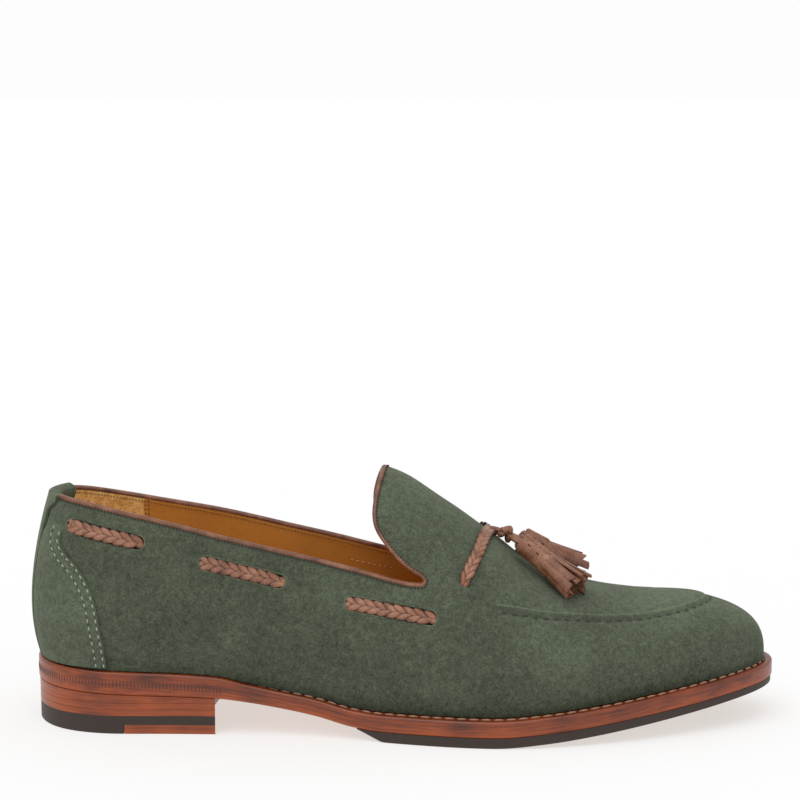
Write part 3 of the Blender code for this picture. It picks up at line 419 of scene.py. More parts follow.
def sew(name, points, runs, normals, size, material):
    """A row of stitches: a plump dash at each point, along its run and standing on its normal. The
    size holds a dash's length, width and height."""
    length, width, height = size
    run, normal = unit(np.asarray(runs, float)), unit(np.asarray(normals, float))
    across = unit(np.cross(normal, run))
    dash = bmesh.new()
    bmesh.ops.create_uvsphere(dash, u_segments=8, v_segments=6, radius=0.5)
    frames = np.stack((run * length, across * width, np.cross(run, across) * height), 1)
    return scatter(name, dash, np.asarray(points), frames, material)


def spaced(path, pitch, start=0.5):
    """Points each a pitch apart along a path of close points, with the path's run at each."""
    steps = np.linalg.norm(np.diff(path, axis=0), axis=1)
    travel = np.concatenate(((0,), np.cumsum(steps)))
    at = np.arange(pitch * start, travel[-1] - pitch / 4, pitch)
    points = np.stack([np.interp(at, travel, path[:, k]) for k in range(3)], -1)
    ahead = np.stack([np.interp(at + pitch / 4, travel, path[:, k]) for k in range(3)], -1)
    return points, ahead - points


def nearest(path, points):
    """For each point, the number of the path's closest point."""
    return [int(np.argmin(np.linalg.norm(path - point, axis=1))) for point in points]


def sew_along(name, path, normals, pitch, size, material, start=0.5):
    """A row of stitches along a path of close points, which has a normal at each of them."""
    points, runs = spaced(path, pitch, start)
    return sew(name, points, runs, normals[nearest(path, points)], size, material)


def thread(name, colour, roughness=0.6):
    """Twisted thread: a fine ply, darker and paler than the thread's colour."""
    material, place, wear = finish_of(name, roughness)
    ply = place.noise(3500, 2.0, 0.6)
    dark, pale = (tuple(min(1, c * share) for c in colour) for share in (0.7, 1.25))
    wear(ply.tint((*dark, 1), (*pale, 1)), ply, 0.0001, 0.4)
    return material


WELT_PITCH = 0.0048
WELT_STITCH = (0.0039, 0.0010, 0.0009)
WELT_SEWN_FROM = 0.30
welt_thread = thread("welt_thread", (0.36, 0.20, 0.13))
start = float(turn_of(WELT_SEWN_FROM))
s = np.concatenate((np.linspace(-start, -1, 400), np.linspace(1, start, 400)[1:]))
x, y = sole_edge(s, STITCH_GROOVE).T
path = np.stack((x, y, welt_top(x) - 0.0001), -1)
upright = np.tile((0, 0, 1), (len(path), 1))
welt_stitches = sew_along("welt_stitches", path, upright, WELT_PITCH, WELT_STITCH, welt_thread)


# Seat wheel marks: short upright grooves that a heated wheel presses into the heel seat's edge.
SEAT_MARK_PITCH = 0.00142
SEAT_MARK = (0.0034, 0.00040, 0.00022)
SEAT_MARK_DROP = 0.0048
SEAT_FRONT = 0.044
seat_ink, place, wear = finish_of("seat_mark_ink", 0.5)
wear(place.noise(900).tint((0.045, 0.013, 0.007, 1), (0.120, 0.032, 0.014, 1)))
end = float(turn_of(along_at(SEAT_FRONT)))
s = np.linspace(-end, end, 900)
x, y = sole_edge(s, 0.0).T
points, runs = spaced(np.stack((x, y, welt_top(x) - SEAT_MARK_DROP), -1), SEAT_MARK_PITCH)
outward = np.cross((0, 0, 1), runs) * -1
seat_marks = sew("seat_marks", points, [(0, 0, 1)] * len(points), outward, SEAT_MARK, seat_ink)


# Heel: leather lifts stacked under the seat, a dark lift, and a top piece of rubber with a leather
# quarter at its front. The stack is trimmed, dyed and polished as one.
HEEL_BREAST = 0.041
BREAST_HOLLOW = 0.004
QUARTER_TIP = 0.005
TOP_PIECE_THICKNESS = 0.0037
DARK_LIFT_THICKNESS = 0.0037
LIFT_THICKNESS = 0.0025
LIFT_LINE = 0.00015
heel_leather = burnished_leather("heel_leather", lambda place: place, (30.0, 30.0, 640.0))
dark_rubber, place, wear = finish_of("dark_rubber", 0.55)
scuff = place.noise(30, 4.0, 0.7, (1, 1, 14))
wear((scuff * 0.8 + place.noise(700, 3.0) * 0.2).tint((0.015, 0.008, 0.005, 1), (0.046, 0.025, 0.017, 1)),
     place.noise(1400, 3.0), 0.0002, 0.30, roughness=0.42 + scuff * 0.3)


def heel_block(name, back, front, hollow, levels, material):
    """A block of the heel on its outline, which is hollow at the front. Its levels are pairs of
    inset and height."""
    start, end = float(turn_of(along_at(back))), float(turn_of(along_at(front)))
    turns = np.linspace(start, end, 60)
    breast = np.linspace(0, 1, 24)[1:-1]
    count = 2 * len(turns) + len(breast)

    def outline(inset):
        lateral, medial = sole_edge(-turns, inset), sole_edge(turns[::-1], inset)
        across = lateral[-1] + (medial[0] - lateral[-1]) * breast[:, None]
        across[:, 0] -= hollow * 4 * breast * (1 - breast)
        return np.concatenate((lateral, across, medial))

    def block_points(u, w):
        number = np.rint(u * count).astype(int) % count
        level = np.clip(np.rint(w * (len(levels) + 1)).astype(int) - 1, 0, len(levels) - 1)
        inset, height = (list(column) for column in zip(*levels))
        outlines = np.stack([outline(value) for value in inset])
        spot = outlines[level, number]
        capped = (w < 0.5 / (len(levels) + 1)) | (w > 1 - 0.5 / (len(levels) + 1))
        spot = np.where(capped[:, None], outlines.mean((0, 1)), spot)
        heights = np.stack([value(spot[:, 0]) if callable(value) else np.full(len(u), value)
                            for value in height])
        return np.concatenate((spot, heights[level, np.arange(len(u))][:, None]), -1)
    block = lay(name, count, len(levels) + 1, block_points, material)
    paint(block, "rise", lambda places: 0.35 + 0 * places[:, 0])
    return block


seat_back, dark_top = -HEEL_BACK + 1e-5, TOP_PIECE_THICKNESS + DARK_LIFT_THICKNESS
levels = [(0.0004, dark_top)]
for number in (1, 2):
    line = dark_top + number * LIFT_THICKNESS
    levels += [(0.0004, line - LIFT_LINE), (0.0004 + LIFT_LINE, line), (0.0004, line + LIFT_LINE)]
levels += [(0.0003, lambda x: underside(x) - GAP / 2)]
stack = heel_block("heel_stack", seat_back, HEEL_BREAST, BREAST_HOLLOW, levels, heel_leather)
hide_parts("heel_lift_1", "heel_lift_2", "heel_lift_3")
dark_lift = heel_block("dark_lift", seat_back, HEEL_BREAST, BREAST_HOLLOW,
                       [(0.0005, TOP_PIECE_THICKNESS), (0.0005, dark_top)], dark_rubber)
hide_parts("black_lift")
heel_rubber = heel_block("heel_rubber", seat_back, QUARTER_TIP - GAP, 0.0,
                         [(0.0009, 0.0), (0.0005, 0.0005), (0.0005, TOP_PIECE_THICKNESS)], dark_rubber)
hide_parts("top_piece_rubber")
heel_quarter = heel_block("heel_quarter", QUARTER_TIP, HEEL_BREAST, BREAST_HOLLOW,
                          [(0.0009, 0.0), (0.0005, 0.0005), (0.0005, TOP_PIECE_THICKNESS)], heel_leather)
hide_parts("top_piece_leather")


# Forepart rubber: a thin half sole glued under the ball and the toe. It runs out to nothing in the
# waist, and its edge is rounded where it meets the ground.
RUBBER_START = 0.4347
RUBBER_FULL = 0.4686
RUBBER_SHARE = level_curve([row[0] for row in SOLE_LINE], [row[2] for row in SOLE_LINE])(FINE)


def rubber_bottom(x):
    run_out = np.clip((along_at(x) - RUBBER_START) / (RUBBER_FULL - RUBBER_START), 0, 1)
    thickness = RUBBER_THICKNESS * np.interp(along_at(x), FINE, RUBBER_SHARE)
    return np.maximum(0, underside(x) - GAP - thickness * run_out - GAP * (1 - run_out))


RUBBER_SECTION = ((-1, 0.0010, 0, 0.0), (-1, 0.0005, 0, 0.0002), (-1, 0.0005, 1, 0.0), (1, 0.0005, 1, 0.0),
                  (1, 0.0005, 0, 0.0002), (1, 0.0010, 0, 0.0), (-1, 0.0010, 0, 0.0))
forepart = lay("forepart_half_sole", 160, len(RUBBER_SECTION) - 1,
               across_sole(RUBBER_SECTION, rubber_bottom, lambda x: underside(x) - GAP / 2,
                           float(turn_of(RUBBER_START))), dark_rubber)
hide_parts("forepart_rubber")


# Upper: green nubuck lasted over one form, with a hand-stitched apron whose seam stands up as a
# soft ridge round the toe. Quarters and vamp are cut from it at the collar and the tongue.
WELT_MARGIN = 0.0050
BACK_HEIGHT = 0.0930
INSTEP_HEIGHT = 0.1020
TOE_HEIGHT = 0.0500
CONE_HEIGHT = 0.1260
HEEL_POLE = 0.005
TOE_POLE = 0.055
BULGE = 0.0035
WALL = 0.0024
LEATHER = 0.0013
RIDGE_HEIGHT = 0.0010
RIDGE_START = 0.147
RIDGE_FADE = 0.008
CREST_BAND = 0.995
# along, height that the row follows, share of it, place to the side
CREST = (
    (0.1271, CONE_HEIGHT, 1.000, 0.000), (0.2438, CONE_HEIGHT, 0.960, 0.010),
    (0.3612, INSTEP_HEIGHT, 1.113, 0.020), (0.4445, INSTEP_HEIGHT, 1.025, 0.025),
    (0.4716, INSTEP_HEIGHT, 0.998, 0.025), (0.5017, INSTEP_HEIGHT, 0.962, 0.022),
    (0.5388, INSTEP_HEIGHT, 0.890, 0.020), (0.5739, INSTEP_HEIGHT, 0.820, 0.018),
    (0.6040, INSTEP_HEIGHT, 0.754, 0.016), (0.6301, INSTEP_HEIGHT, 0.696, 0.014),
    (0.6492, INSTEP_HEIGHT, 0.648, 0.014), (0.6793, INSTEP_HEIGHT, 0.591, 0.014),
    (0.7124, TOE_HEIGHT, 1.128, 0.014), (0.7545, TOE_HEIGHT, 1.055, 0.015),
    (0.7876, TOE_HEIGHT, 1.020, 0.017), (0.8197, TOE_HEIGHT, 1.000, 0.018))
# along, margin of welt, swell of each side, powers of the rib's side and top, seam of each side
RIBS = (
    (0.00, 0.45, 1.00, 1.00, 2.70, 2.40, 0.46, 0.46), (0.1104, 0.28, 0.75, 0.75, 2.55, 1.60, 0.46, 0.46),
    (0.2508, 0.40, 0.90, 1.10, 2.45, 1.85, 0.45, 0.45), (0.3311, 0.60, 1.10, 1.90, 2.40, 2.00, 0.45, 0.45),
    (0.4013, 0.80, 1.20, 2.20, 2.25, 2.05, 0.45, 0.45), (0.4716, 1.00, 1.10, 1.70, 2.10, 1.90, 0.45, 0.45),
    (0.5418, 1.00, 0.90, 1.30, 2.00, 1.90, 0.450, 0.450),
    (0.6120, 1.00, 0.70, 0.90, 2.10, 2.05, 0.455, 0.455),
    (0.6622, 1.00, 0.62, 0.75, 2.25, 2.25, 0.513, 0.513),
    (0.7124, 1.00, 0.56, 0.60, 2.35, 2.35, 0.562, 0.562),
    (0.7625, 1.00, 0.50, 0.50, 2.40, 2.40, 0.600, 0.600),
    (0.8328, 0.99, 0.39, 0.39, 2.41, 2.40, 0.642, 0.642),
    (0.9231, 0.81, 0.13, 0.13, 2.82, 2.36, 0.662, 0.662),
    (0.9732, 0.71, 0.00, 0.00, 3.03, 2.34, 0.683, 0.683), (1.00, 0.66, 0.00, 0.00, 3.03, 2.34, 0.690, 0.690))
# along, height that the row follows, share of it, how far the medial side runs below it
COLLAR = (
    (0.000, BACK_HEIGHT, 0.974, 0.0008), (0.0351, BACK_HEIGHT, 0.972, 0.0012),
    (0.0763, BACK_HEIGHT, 0.957, 0.0024), (0.1344, BACK_HEIGHT, 0.917, 0.0020),
    (0.2017, BACK_HEIGHT, 0.866, 0.0006), (0.2679, BACK_HEIGHT, 0.813, -0.0008),
    (0.3351, BACK_HEIGHT, 0.763, -0.0012), (0.4003, INSTEP_HEIGHT, 0.652, -0.0014),
    (0.4575, INSTEP_HEIGHT, 0.611, -0.0012), (0.4957, INSTEP_HEIGHT, 0.586, -0.0008),
    (0.5147, INSTEP_HEIGHT, 0.580, -0.0004), (0.5247, INSTEP_HEIGHT, 0.584, -0.0002),
    (0.5298, INSTEP_HEIGHT, 0.609, 0.0), (0.5247, INSTEP_HEIGHT, 0.638, 0.0),
    (0.5137, INSTEP_HEIGHT, 0.658, 0.0), (0.4957, INSTEP_HEIGHT, 0.696, 0.0),
    (0.4806, INSTEP_HEIGHT, 0.743, 0.0), (0.4676, INSTEP_HEIGHT, 0.794, 0.0),
    (0.4635, INSTEP_HEIGHT, 0.835, 0.0), (0.4645, INSTEP_HEIGHT, 0.885, 0.0),
    (0.4706, INSTEP_HEIGHT, 0.953, 0.0), (0.4776, INSTEP_HEIGHT, 1.000, 0.0))
along, height, share, side = (np.array(column) for column in zip(*CREST))
crest_ends = (along[0], along[-1])
crest_rise = fair_curve(along, height * share)
CREST_Z = crest_rise(np.clip(FINE, *crest_ends))
CREST_Y = fair_curve(along, side * BALL_WIDTH)(np.clip(FINE, *crest_ends))
rib_columns = list(zip(*RIBS))
MARGIN, LATERAL, MEDIAL, SIDE, TOP, SEAM_LATERAL, SEAM_MEDIAL = (
    level_curve(rib_columns[0], column)(FINE) for column in rib_columns[1:])


def rib_value(column, s):
    return np.interp(share_of(abs((s + 1) % 2 - 1)), FINE, column)


def last_point(s, v):
    """A point of the upper's outer face: s as for the sole's edge, v from the welt to the crest."""
    s = (np.asarray(s, float) + 1) % 2 - 1
    foot = sole_edge(s, rib_value(MARGIN, s) * WELT_MARGIN)
    share = along_at(np.clip(foot[..., 0], HEEL_POLE, place_along(1) - TOE_POLE))
    crest = np.stack((place_along(share), np.interp(share, FINE, CREST_Y)), -1)
    low, high = welt_top(foot[..., 0]) + GAP, np.interp(share, FINE, CREST_Z)
    angle = np.clip(v, 0, 1) * math.pi / 2
    reach = np.maximum(np.cos(angle), 0) ** (2 / rib_value(TOP, s))
    rise = np.sin(angle) ** (2 / rib_value(SIDE, s))
    swell = np.where(s < 0, rib_value(LATERAL, s), rib_value(MEDIAL, s))
    swell = BULGE * swell * 256 / 27 * rise * (1 - rise) ** 3
    out = foot - crest
    plan = crest + out * reach[..., None] + unit(out) * swell[..., None]
    return np.concatenate((plan, (low + (high - low) * rise)[..., None]), -1)


def last_normal(s, v):
    """The outward normal of the upper's outer face."""
    s, v = np.asarray(s, float), np.asarray(v, float)
    across = last_point(s + SLOPE_STEP, v) - last_point(s - SLOPE_STEP, v)
    up = last_point(s, np.minimum(v + SLOPE_STEP, 1)) - last_point(s, np.maximum(v - SLOPE_STEP, 0))
    normal = np.cross(up, across)
    share = np.clip(along_at(last_point(s, np.ones_like(v))[..., 0]), *crest_ends)
    ends = np.clip((share - SLOPE_STEP, share + SLOPE_STEP), *crest_ends)
    slope = (crest_rise(ends[1]) - crest_rise(ends[0])) / ((ends[1] - ends[0]) * SHOE_LENGTH)
    level = np.stack((-slope, np.zeros_like(slope), np.ones_like(slope)), -1)
    return unit(np.where((v > CREST_BAND)[..., None], level, normal))


def lifted(s, v, height):
    return last_point(s, v) + last_normal(s, v) * np.asarray(height)[..., None]


def seen_from_side(side, x, z):
    """The s and v of the points of the upper that show at x and z from one side."""
    x, z = np.asarray(x, float), np.asarray(z, float)
    turn, v, step = turn_of(along_at(x)), np.full_like(x, 0.5), 1e-3
    for _ in range(18):
        here = last_point(side * turn, v)
        along = (last_point(side * (turn + step), v) - here) / step
        up = (last_point(side * turn, v + step) - here) / step
        miss_x, miss_z = x - here[..., 0], z - here[..., 2]
        area = along[..., 0] * up[..., 2] - up[..., 0] * along[..., 2]
        turn_move = np.clip((miss_x * up[..., 2] - up[..., 0] * miss_z) / area, -0.1, 0.1)
        v_move = np.clip((along[..., 0] * miss_z - along[..., 2] * miss_x) / area, -0.1, 0.1)
        turn, v = np.clip(turn + turn_move, 0.005, 0.995), np.clip(v + v_move, 0.005, 0.99)
    return side * turn, v


def seam_of(s):
    return np.where(((np.asarray(s) + 1) % 2 - 1) < 0, rib_value(SEAM_LATERAL, s), rib_value(SEAM_MEDIAL, s))


def rib_length(s, v):
    """Metres of rib for one unit of v."""
    return np.linalg.norm(last_point(s, v + 0.01) - last_point(s, v - 0.01), axis=-1) / 0.02


# shares of the climb at which the crowded band of rows starts and ends, and half its width
SEAM_ROWS = (0.32, 0.66)
SEAM_BAND = 0.0045


def ribs_place(u, w):
    """s and v for a sheet that wraps the last from one welt over the crest to the other, with its
    rows crowded at the apron's seam."""
    side = np.where(w < 0.5, -1.0, 1.0)
    s = side * u
    climb = 1 - abs(2 * w - 1)
    seam = seam_of(s)
    band = SEAM_BAND / rib_length(s, seam)
    low, high = seam - band, seam + band
    first, last = SEAM_ROWS
    crowded = low + (climb - first) / (last - first) * 2 * band
    above = high + (climb - last) / (1 - last) * (1 - high)
    v = np.where(climb < first, climb / first * low, np.where(climb < last, crowded, above))
    return s, v


def seam_relief(s, v):
    """The apron's seam: a soft ridge, with a shallow channel below it that the stitches pull in."""
    x = last_point(s, v)[..., 0]
    fade = np.clip((x - RIDGE_START) / RIDGE_FADE, 0, 1)
    off = (v - seam_of(s)) * rib_length(s, seam_of(s))
    ridge = RIDGE_HEIGHT * 0.75 * np.exp(-(off / 0.0006) ** 2)
    step = 0.0004 / (1 + np.exp((off + 0.0004) / 0.0003)) * np.exp(-((off + 0.0015) / 0.0030) ** 2)
    channel = -0.0004 * np.exp(-((off + 0.0028) / 0.0010) ** 2)
    return fade * (ridge + step * 0.5 + channel)


def upper_points(u, w):
    s, v = ribs_place(u, w)
    return lifted(s, v, seam_relief(s, v))


NUBUCK_DARK = (0.026, 0.032, 0.020)
NUBUCK_MID = (0.070, 0.083, 0.055)
NUBUCK_LIGHT = (0.165, 0.192, 0.132)


def nubuck(name, lighter=0.0):
    """Green nubuck: short fibres that lie in light and dark flecks. An attribute painted on the upper makes
    it paler along the apron seam's ridge, adds painted light where its faces turn up, and adds painted shade
    in the seam's channel and by the welt."""
    material, place, wear = finish_of(name, 0.95, sheen_weight=0.15, sheen_roughness=0.5,
                                      sheen_tint=(0.62, 0.72, 0.55, 1), specular_ior_level=0.12)
    fleck, nap_and_painted_light, cloud = place.noise(1250, 3.0, 0.7), place.noise(420, 3.0, 0.6), place.noise(38, 3.0, 0.55)
    # the painted attribute brings painted light and painted shade into the upper's tone
    tone = fleck * 0.50 + nap_and_painted_light * 0.30 + cloud * 0.20 + painted(place, "nap_and_painted_light") * 0.45 + lighter
    colour = tone.ramp((0.32, NUBUCK_DARK), (0.50, NUBUCK_MID), (0.78, NUBUCK_LIGHT))
    wear(colour, fleck * 0.7 + nap_and_painted_light * 0.3, 0.00030, 0.50)
    return material


green_nubuck = nubuck("green_nubuck")
upper = lay("upper_nubuck", 250, 140, upper_points, green_nubuck, LEATHER)


def collar_line(side, inset=0.0, samples=8):
    """One side's collar seen from the side, drawn into the upper by the inset, from the heel's back
    to the tongue's crest, and the direction towards the opening at each point."""
    along, height, share, drop = (np.array(column) for column in zip(*COLLAR))
    x, z = place_along(along), height * share - max(side, 0) * drop
    knots = np.concatenate(((0,), np.cumsum(np.sqrt(np.hypot(np.diff(x), np.diff(z))))))
    at = np.interp(np.linspace(0, len(x) - 1, (len(x) - 1) * samples + 1), np.arange(len(x)), knots)
    curve_x, curve_z, step = fair_curve(knots, x), fair_curve(knots, z), knots[-1] * 1e-4
    run = np.stack((curve_x(at + step) - curve_x(at - step), curve_z(at + step) - curve_z(at - step)), -1)
    run = unit(run)
    opening = np.stack((-run[:, 1], run[:, 0]), -1)
    return np.stack((curve_x(at), curve_z(at)), -1) - opening * inset, opening


def carve(pieces, *cuts):
    """Cuts outlines seen from the side out of pieces, each between two places across the shoe."""
    for outline, near, far in cuts:
        block = bmesh.new()
        face = block.faces.new([block.verts.new((x, near, z)) for x, z in outline])
        pulled = bmesh.ops.extrude_face_region(block, geom=[face])["geom"]
        bmesh.ops.translate(block, vec=(0, far - near, 0),
                            verts=[part for part in pulled if isinstance(part, bmesh.types.BMVert)])
        bmesh.ops.recalc_face_normals(block, faces=block.faces)
        mesh = bpy.data.meshes.new("knife")
        block.to_mesh(mesh)
        block.free()
        knife = bpy.data.objects.new("knife", mesh)
        bpy.context.scene.collection.objects.link(knife)
        for piece in pieces:
            cut = piece.modifiers.new("cut", "BOOLEAN")
            cut.operation, cut.solver, cut.object = "DIFFERENCE", "MANIFOLD", knife
            settle(piece)
        bpy.data.objects.remove(knife)


# Lining: smooth tan leather in the forepart and the quarters, with a pad of golden suede, nap up,
# round the heel where it grips the foot. It is sewn in under the collar's binding.
LINING_DARK = (0.480, 0.195, 0.036)
LINING_TAN = (0.720, 0.345, 0.070)
SUEDE_DARK, SUEDE_GOLD, SUEDE_LIGHT = (0.560, 0.260, 0.065), (0.900, 0.560, 0.190), (0.980, 0.740, 0.330)
SUEDE_END = 0.0082
RIM_RISE = 0.0010
tan_lining, place, wear = finish_of("tan_lining", 0.45, specular_ior_level=0.35)
cloud, grain, fibre = place.noise(55, 3.0), place.noise(1100, 3.0, 0.6), place.noise(420, 4.0, 0.7)
smooth = (cloud * 0.7 + grain * 0.3).tint((*LINING_DARK, 1), (*LINING_TAN, 1))
suede = fibre.ramp((0.30, SUEDE_DARK), (0.50, SUEDE_GOLD), (0.68, SUEDE_LIGHT))
pad = painted(place, "pad")
wear(pad.tint(smooth, suede), grain + fibre * pad, 0.0003, 0.35, roughness=0.42 + pad * 0.45)


def lining_points(u, w):
    s, v = ribs_place(u, w)
    return lifted(s, v, np.full_like(v, -LEATHER))


lining = lay("lining", 160, 64, lining_points, tan_lining, WALL - LEATHER)
above, behind = CONE_HEIGHT + 3 * WALL, -HEEL_BACK - 0.02
for side in (-1, 1):
    line, _ = collar_line(side, -RIM_RISE)
    outline = [(behind, above), (behind, line[0][1])] + list(line) + [(line[-1][0], above)]
    carve((upper, lining), (outline, -side * GAP, side * BALL_WIDTH))
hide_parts("upper")
paint(lining, "pad", lambda places: (places[:, 0] < SUEDE_END))


# Collar binding: a strip of brown leather rolled over the raw edges of nubuck and lining, and
# stitched through both just below the roll.
BINDING_HEIGHT = 0.0020
BINDING_THICKNESS = 0.0028
BINDING_SEAT = 0.0005
COLLAR_BACK = 0.02
HEEL_TOP = -0.0262
TAB_REACH = 0.0120
RIM_STITCH, RIM_PITCH = (0.0011, 0.0007, 0.0008), 0.0014
INSIDE_STITCH, INSIDE_PITCH = (0.0008, 0.00045, 0.0004), 0.0013
LEATHER_DARK = (0.050, 0.017, 0.009)
LEATHER_BROWN = (0.205, 0.080, 0.043)
LEATHER_PALE = (0.430, 0.215, 0.130)


def collar_path(inset):
    """The collar on both sides from heel to crest and back: points on the upper's outer face, the
    direction towards the opening and the direction out through the wall."""
    halves = []
    for side in (-1, 1):
        line, opening = collar_line(side, inset)
        s, v = seen_from_side(side, np.maximum(line[:, 0], HEEL_TOP), line[:, 1])
        kept = (abs(last_point(s, v)[:, 1]) > TAB_REACH) | (line[:, 0] > 0)
        s, v = s[kept], v[kept]
        up = np.stack((opening[kept, 0], np.zeros(kept.sum()), opening[kept, 1]), -1)
        out = last_normal(s, v)
        halves.append((last_point(s, v), up, unit(out - up * np.sum(out * up, -1, keepdims=True))))
    return [np.concatenate((lateral, medial[::-1])) for lateral, medial in zip(*halves)]


def brown_leather(name, shine=0.42, pale=0.0, ridges=None, relief=0.40, painted_leaf_shade=0.0):
    """Soft brown calf: a fine grain, darker in its hollows and paler where it is rubbed. Ridges are the
    scales along and across a sheet of the folds that run along it. The last argument darkens a plait's leaves
    towards their rims with painted shade, where they tuck under each other, and leaves their tops paler as a
    painted highlight."""
    material, place, wear = finish_of(name, shine, specular_ior_level=0.45)
    cloud, grain = place.noise(140, 3.0, 0.6), place.noise(1500, 3.0, 0.6)
    if ridges:
        grain = grain * 0.4 + laid_place(place).noise(1.0, 2.0, 0.5, ridges) * 0.6
    tone = cloud * 0.62 + grain * 0.38 + pale
    if painted_leaf_shade:
        # painted shade at the leaves' rims and a painted highlight on their tops
        tone = tone + (painted(place, "painted_leaf_shade") - 0.8) * painted_leaf_shade
    colour = tone.ramp((0.30, LEATHER_DARK), (0.50, LEATHER_BROWN), (0.78, LEATHER_PALE))
    wear(colour, grain, 0.0003, relief, roughness=shine - 0.08 + cloud * 0.2)
    return material


binding_leather = brown_leather("binding_leather", 0.45, -0.03, (60.0, 30.0, 1.0))
path, up, out = collar_path(-BINDING_HEIGHT / 2 - BINDING_SEAT)


def binding_points(u, w):
    number = np.rint(u * (len(path) - 1)).astype(int)
    angle = 2 * math.pi * w
    high, wide = BINDING_HEIGHT / 2, BINDING_THICKNESS / 2
    c, s = np.cos(angle), np.sin(angle)
    return (path[number] - out[number] * WALL / 2
            + out[number] * (wide * np.sign(c) * abs(c) ** 0.8)[:, None]
            + up[number] * (high * np.sign(s) * abs(s) ** 0.8)[:, None])


binding = lay("binding_roll", len(path) - 1, 16, binding_points, binding_leather)
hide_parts("collar_binding")
dark_thread = thread("dark_thread", (0.030, 0.026, 0.020))
lining_thread = thread("lining_thread", (0.130, 0.056, 0.018))
rim, rim_up, rim_out = collar_path(-0.0008)
points, runs = spaced(rim + rim_out * 0.0002, RIM_PITCH)
sewn_outside = sew("binding_stitches", points, runs, rim_out[nearest(rim, points)], RIM_STITCH, dark_thread)
points, runs = spaced(rim - rim_out * (WALL + 0.0001) - rim_up * 0.0012, INSIDE_PITCH)
near = nearest(rim - rim_out * WALL, points)
sewn_inside = sew("lining_stitches", points, runs, -rim_out[near], INSIDE_STITCH, lining_thread)

# two upright rows join the pad to the lining, and a pale row holds the braid's casing at the throat
pale_thread = thread("pale_thread", (0.72, 0.46, 0.20))
PAD_SEAMS = [((SUEDE_END + shift, 0.0845), (SUEDE_END + shift - 0.0006, 0.0600)) for shift in (0.0, 0.0015)]
CASING_SEAM = ((0.0931, 0.0597), (0.1119, 0.0554))
for side, word in ((-1, "lateral"), (1, "medial")):
    for number, (ends, length, pitch, colour) in enumerate((
            (PAD_SEAMS[0], 0.0011, 0.0019, lining_thread), (PAD_SEAMS[1], 0.0011, 0.0019, lining_thread),
            (CASING_SEAM, 0.0014, 0.0024, pale_thread))):
        x, z = np.linspace(*ends, 80).T
        s, v = seen_from_side(side, x, z)
        row = lifted(s, v, np.full_like(v, -WALL - 0.0001))
        stitches = sew_along("lining_seam_%s_%d" % (word, number), row, -last_normal(s, v), pitch,
                             (length, 0.0005, 0.0004), colour)


# Heel counter: two nubuck panels sewn flat over the back of the quarters, each with a curved
# front edge held by one stitch row on the edge and one 3 mm behind it.
COUNTER_THICKNESS = 0.0009
COUNTER_TOP = 0.0060
BACKSTAY_WIDTH = 0.0220
COUNTER_EDGE = (
    (0.1048, 0.290), (0.1010, 0.389), (0.0969, 0.459), (0.0940, 0.523), (0.0889, 0.591), (0.0797, 0.657),
    (0.0659, 0.721), (0.0488, 0.774), (0.0427, 0.817), (0.0455, 0.855), (0.0523, 0.903))


def rib_at_height(s, z):
    """The v at which ribs reach heights."""
    low, high = np.zeros_like(s), np.ones_like(s)
    for _ in range(26):
        middle = (low + high) / 2
        short = last_point(s, middle)[..., 2] < z
        low, high = np.where(short, middle, low), np.where(short, high, middle)
    return (low + high) / 2


def heel_side(side, height, reach):
    """The s at which the heel's face lies the reach away from the back seam, at heights."""
    low, high = np.zeros_like(height), np.full_like(height, float(turn_of(along_at(HEEL_POLE))))
    for _ in range(22):
        middle = (low + high) / 2
        short = abs(last_point(side * middle, rib_at_height(side * middle, height))[..., 1]) < reach
        low, high = np.where(short, middle, low), np.where(short, high, middle)
    return side * (low + high) / 2


edge_heights = [share * BACK_HEIGHT for _, share in COUNTER_EDGE]
edge_front = level_curve(edge_heights, [float(place_along(along)) for along, _ in COUNTER_EDGE])
back_low = float(welt_top(-HEEL_BACK)) + 2 * GAP
line, _ = collar_line(-1)
back_high = float(np.interp(place_along(0.03), line[:60, 0], line[:60, 1])) - COUNTER_TOP
# A copy of the green nubuck, painted lighter: painted light on the counters and the backstay.
counter_nubuck_painted_light = nubuck("counter_nubuck_painted_light", 0.05)
counter_thread = thread("counter_thread", (0.36, 0.41, 0.31))
COUNTER_PITCH = 0.0031
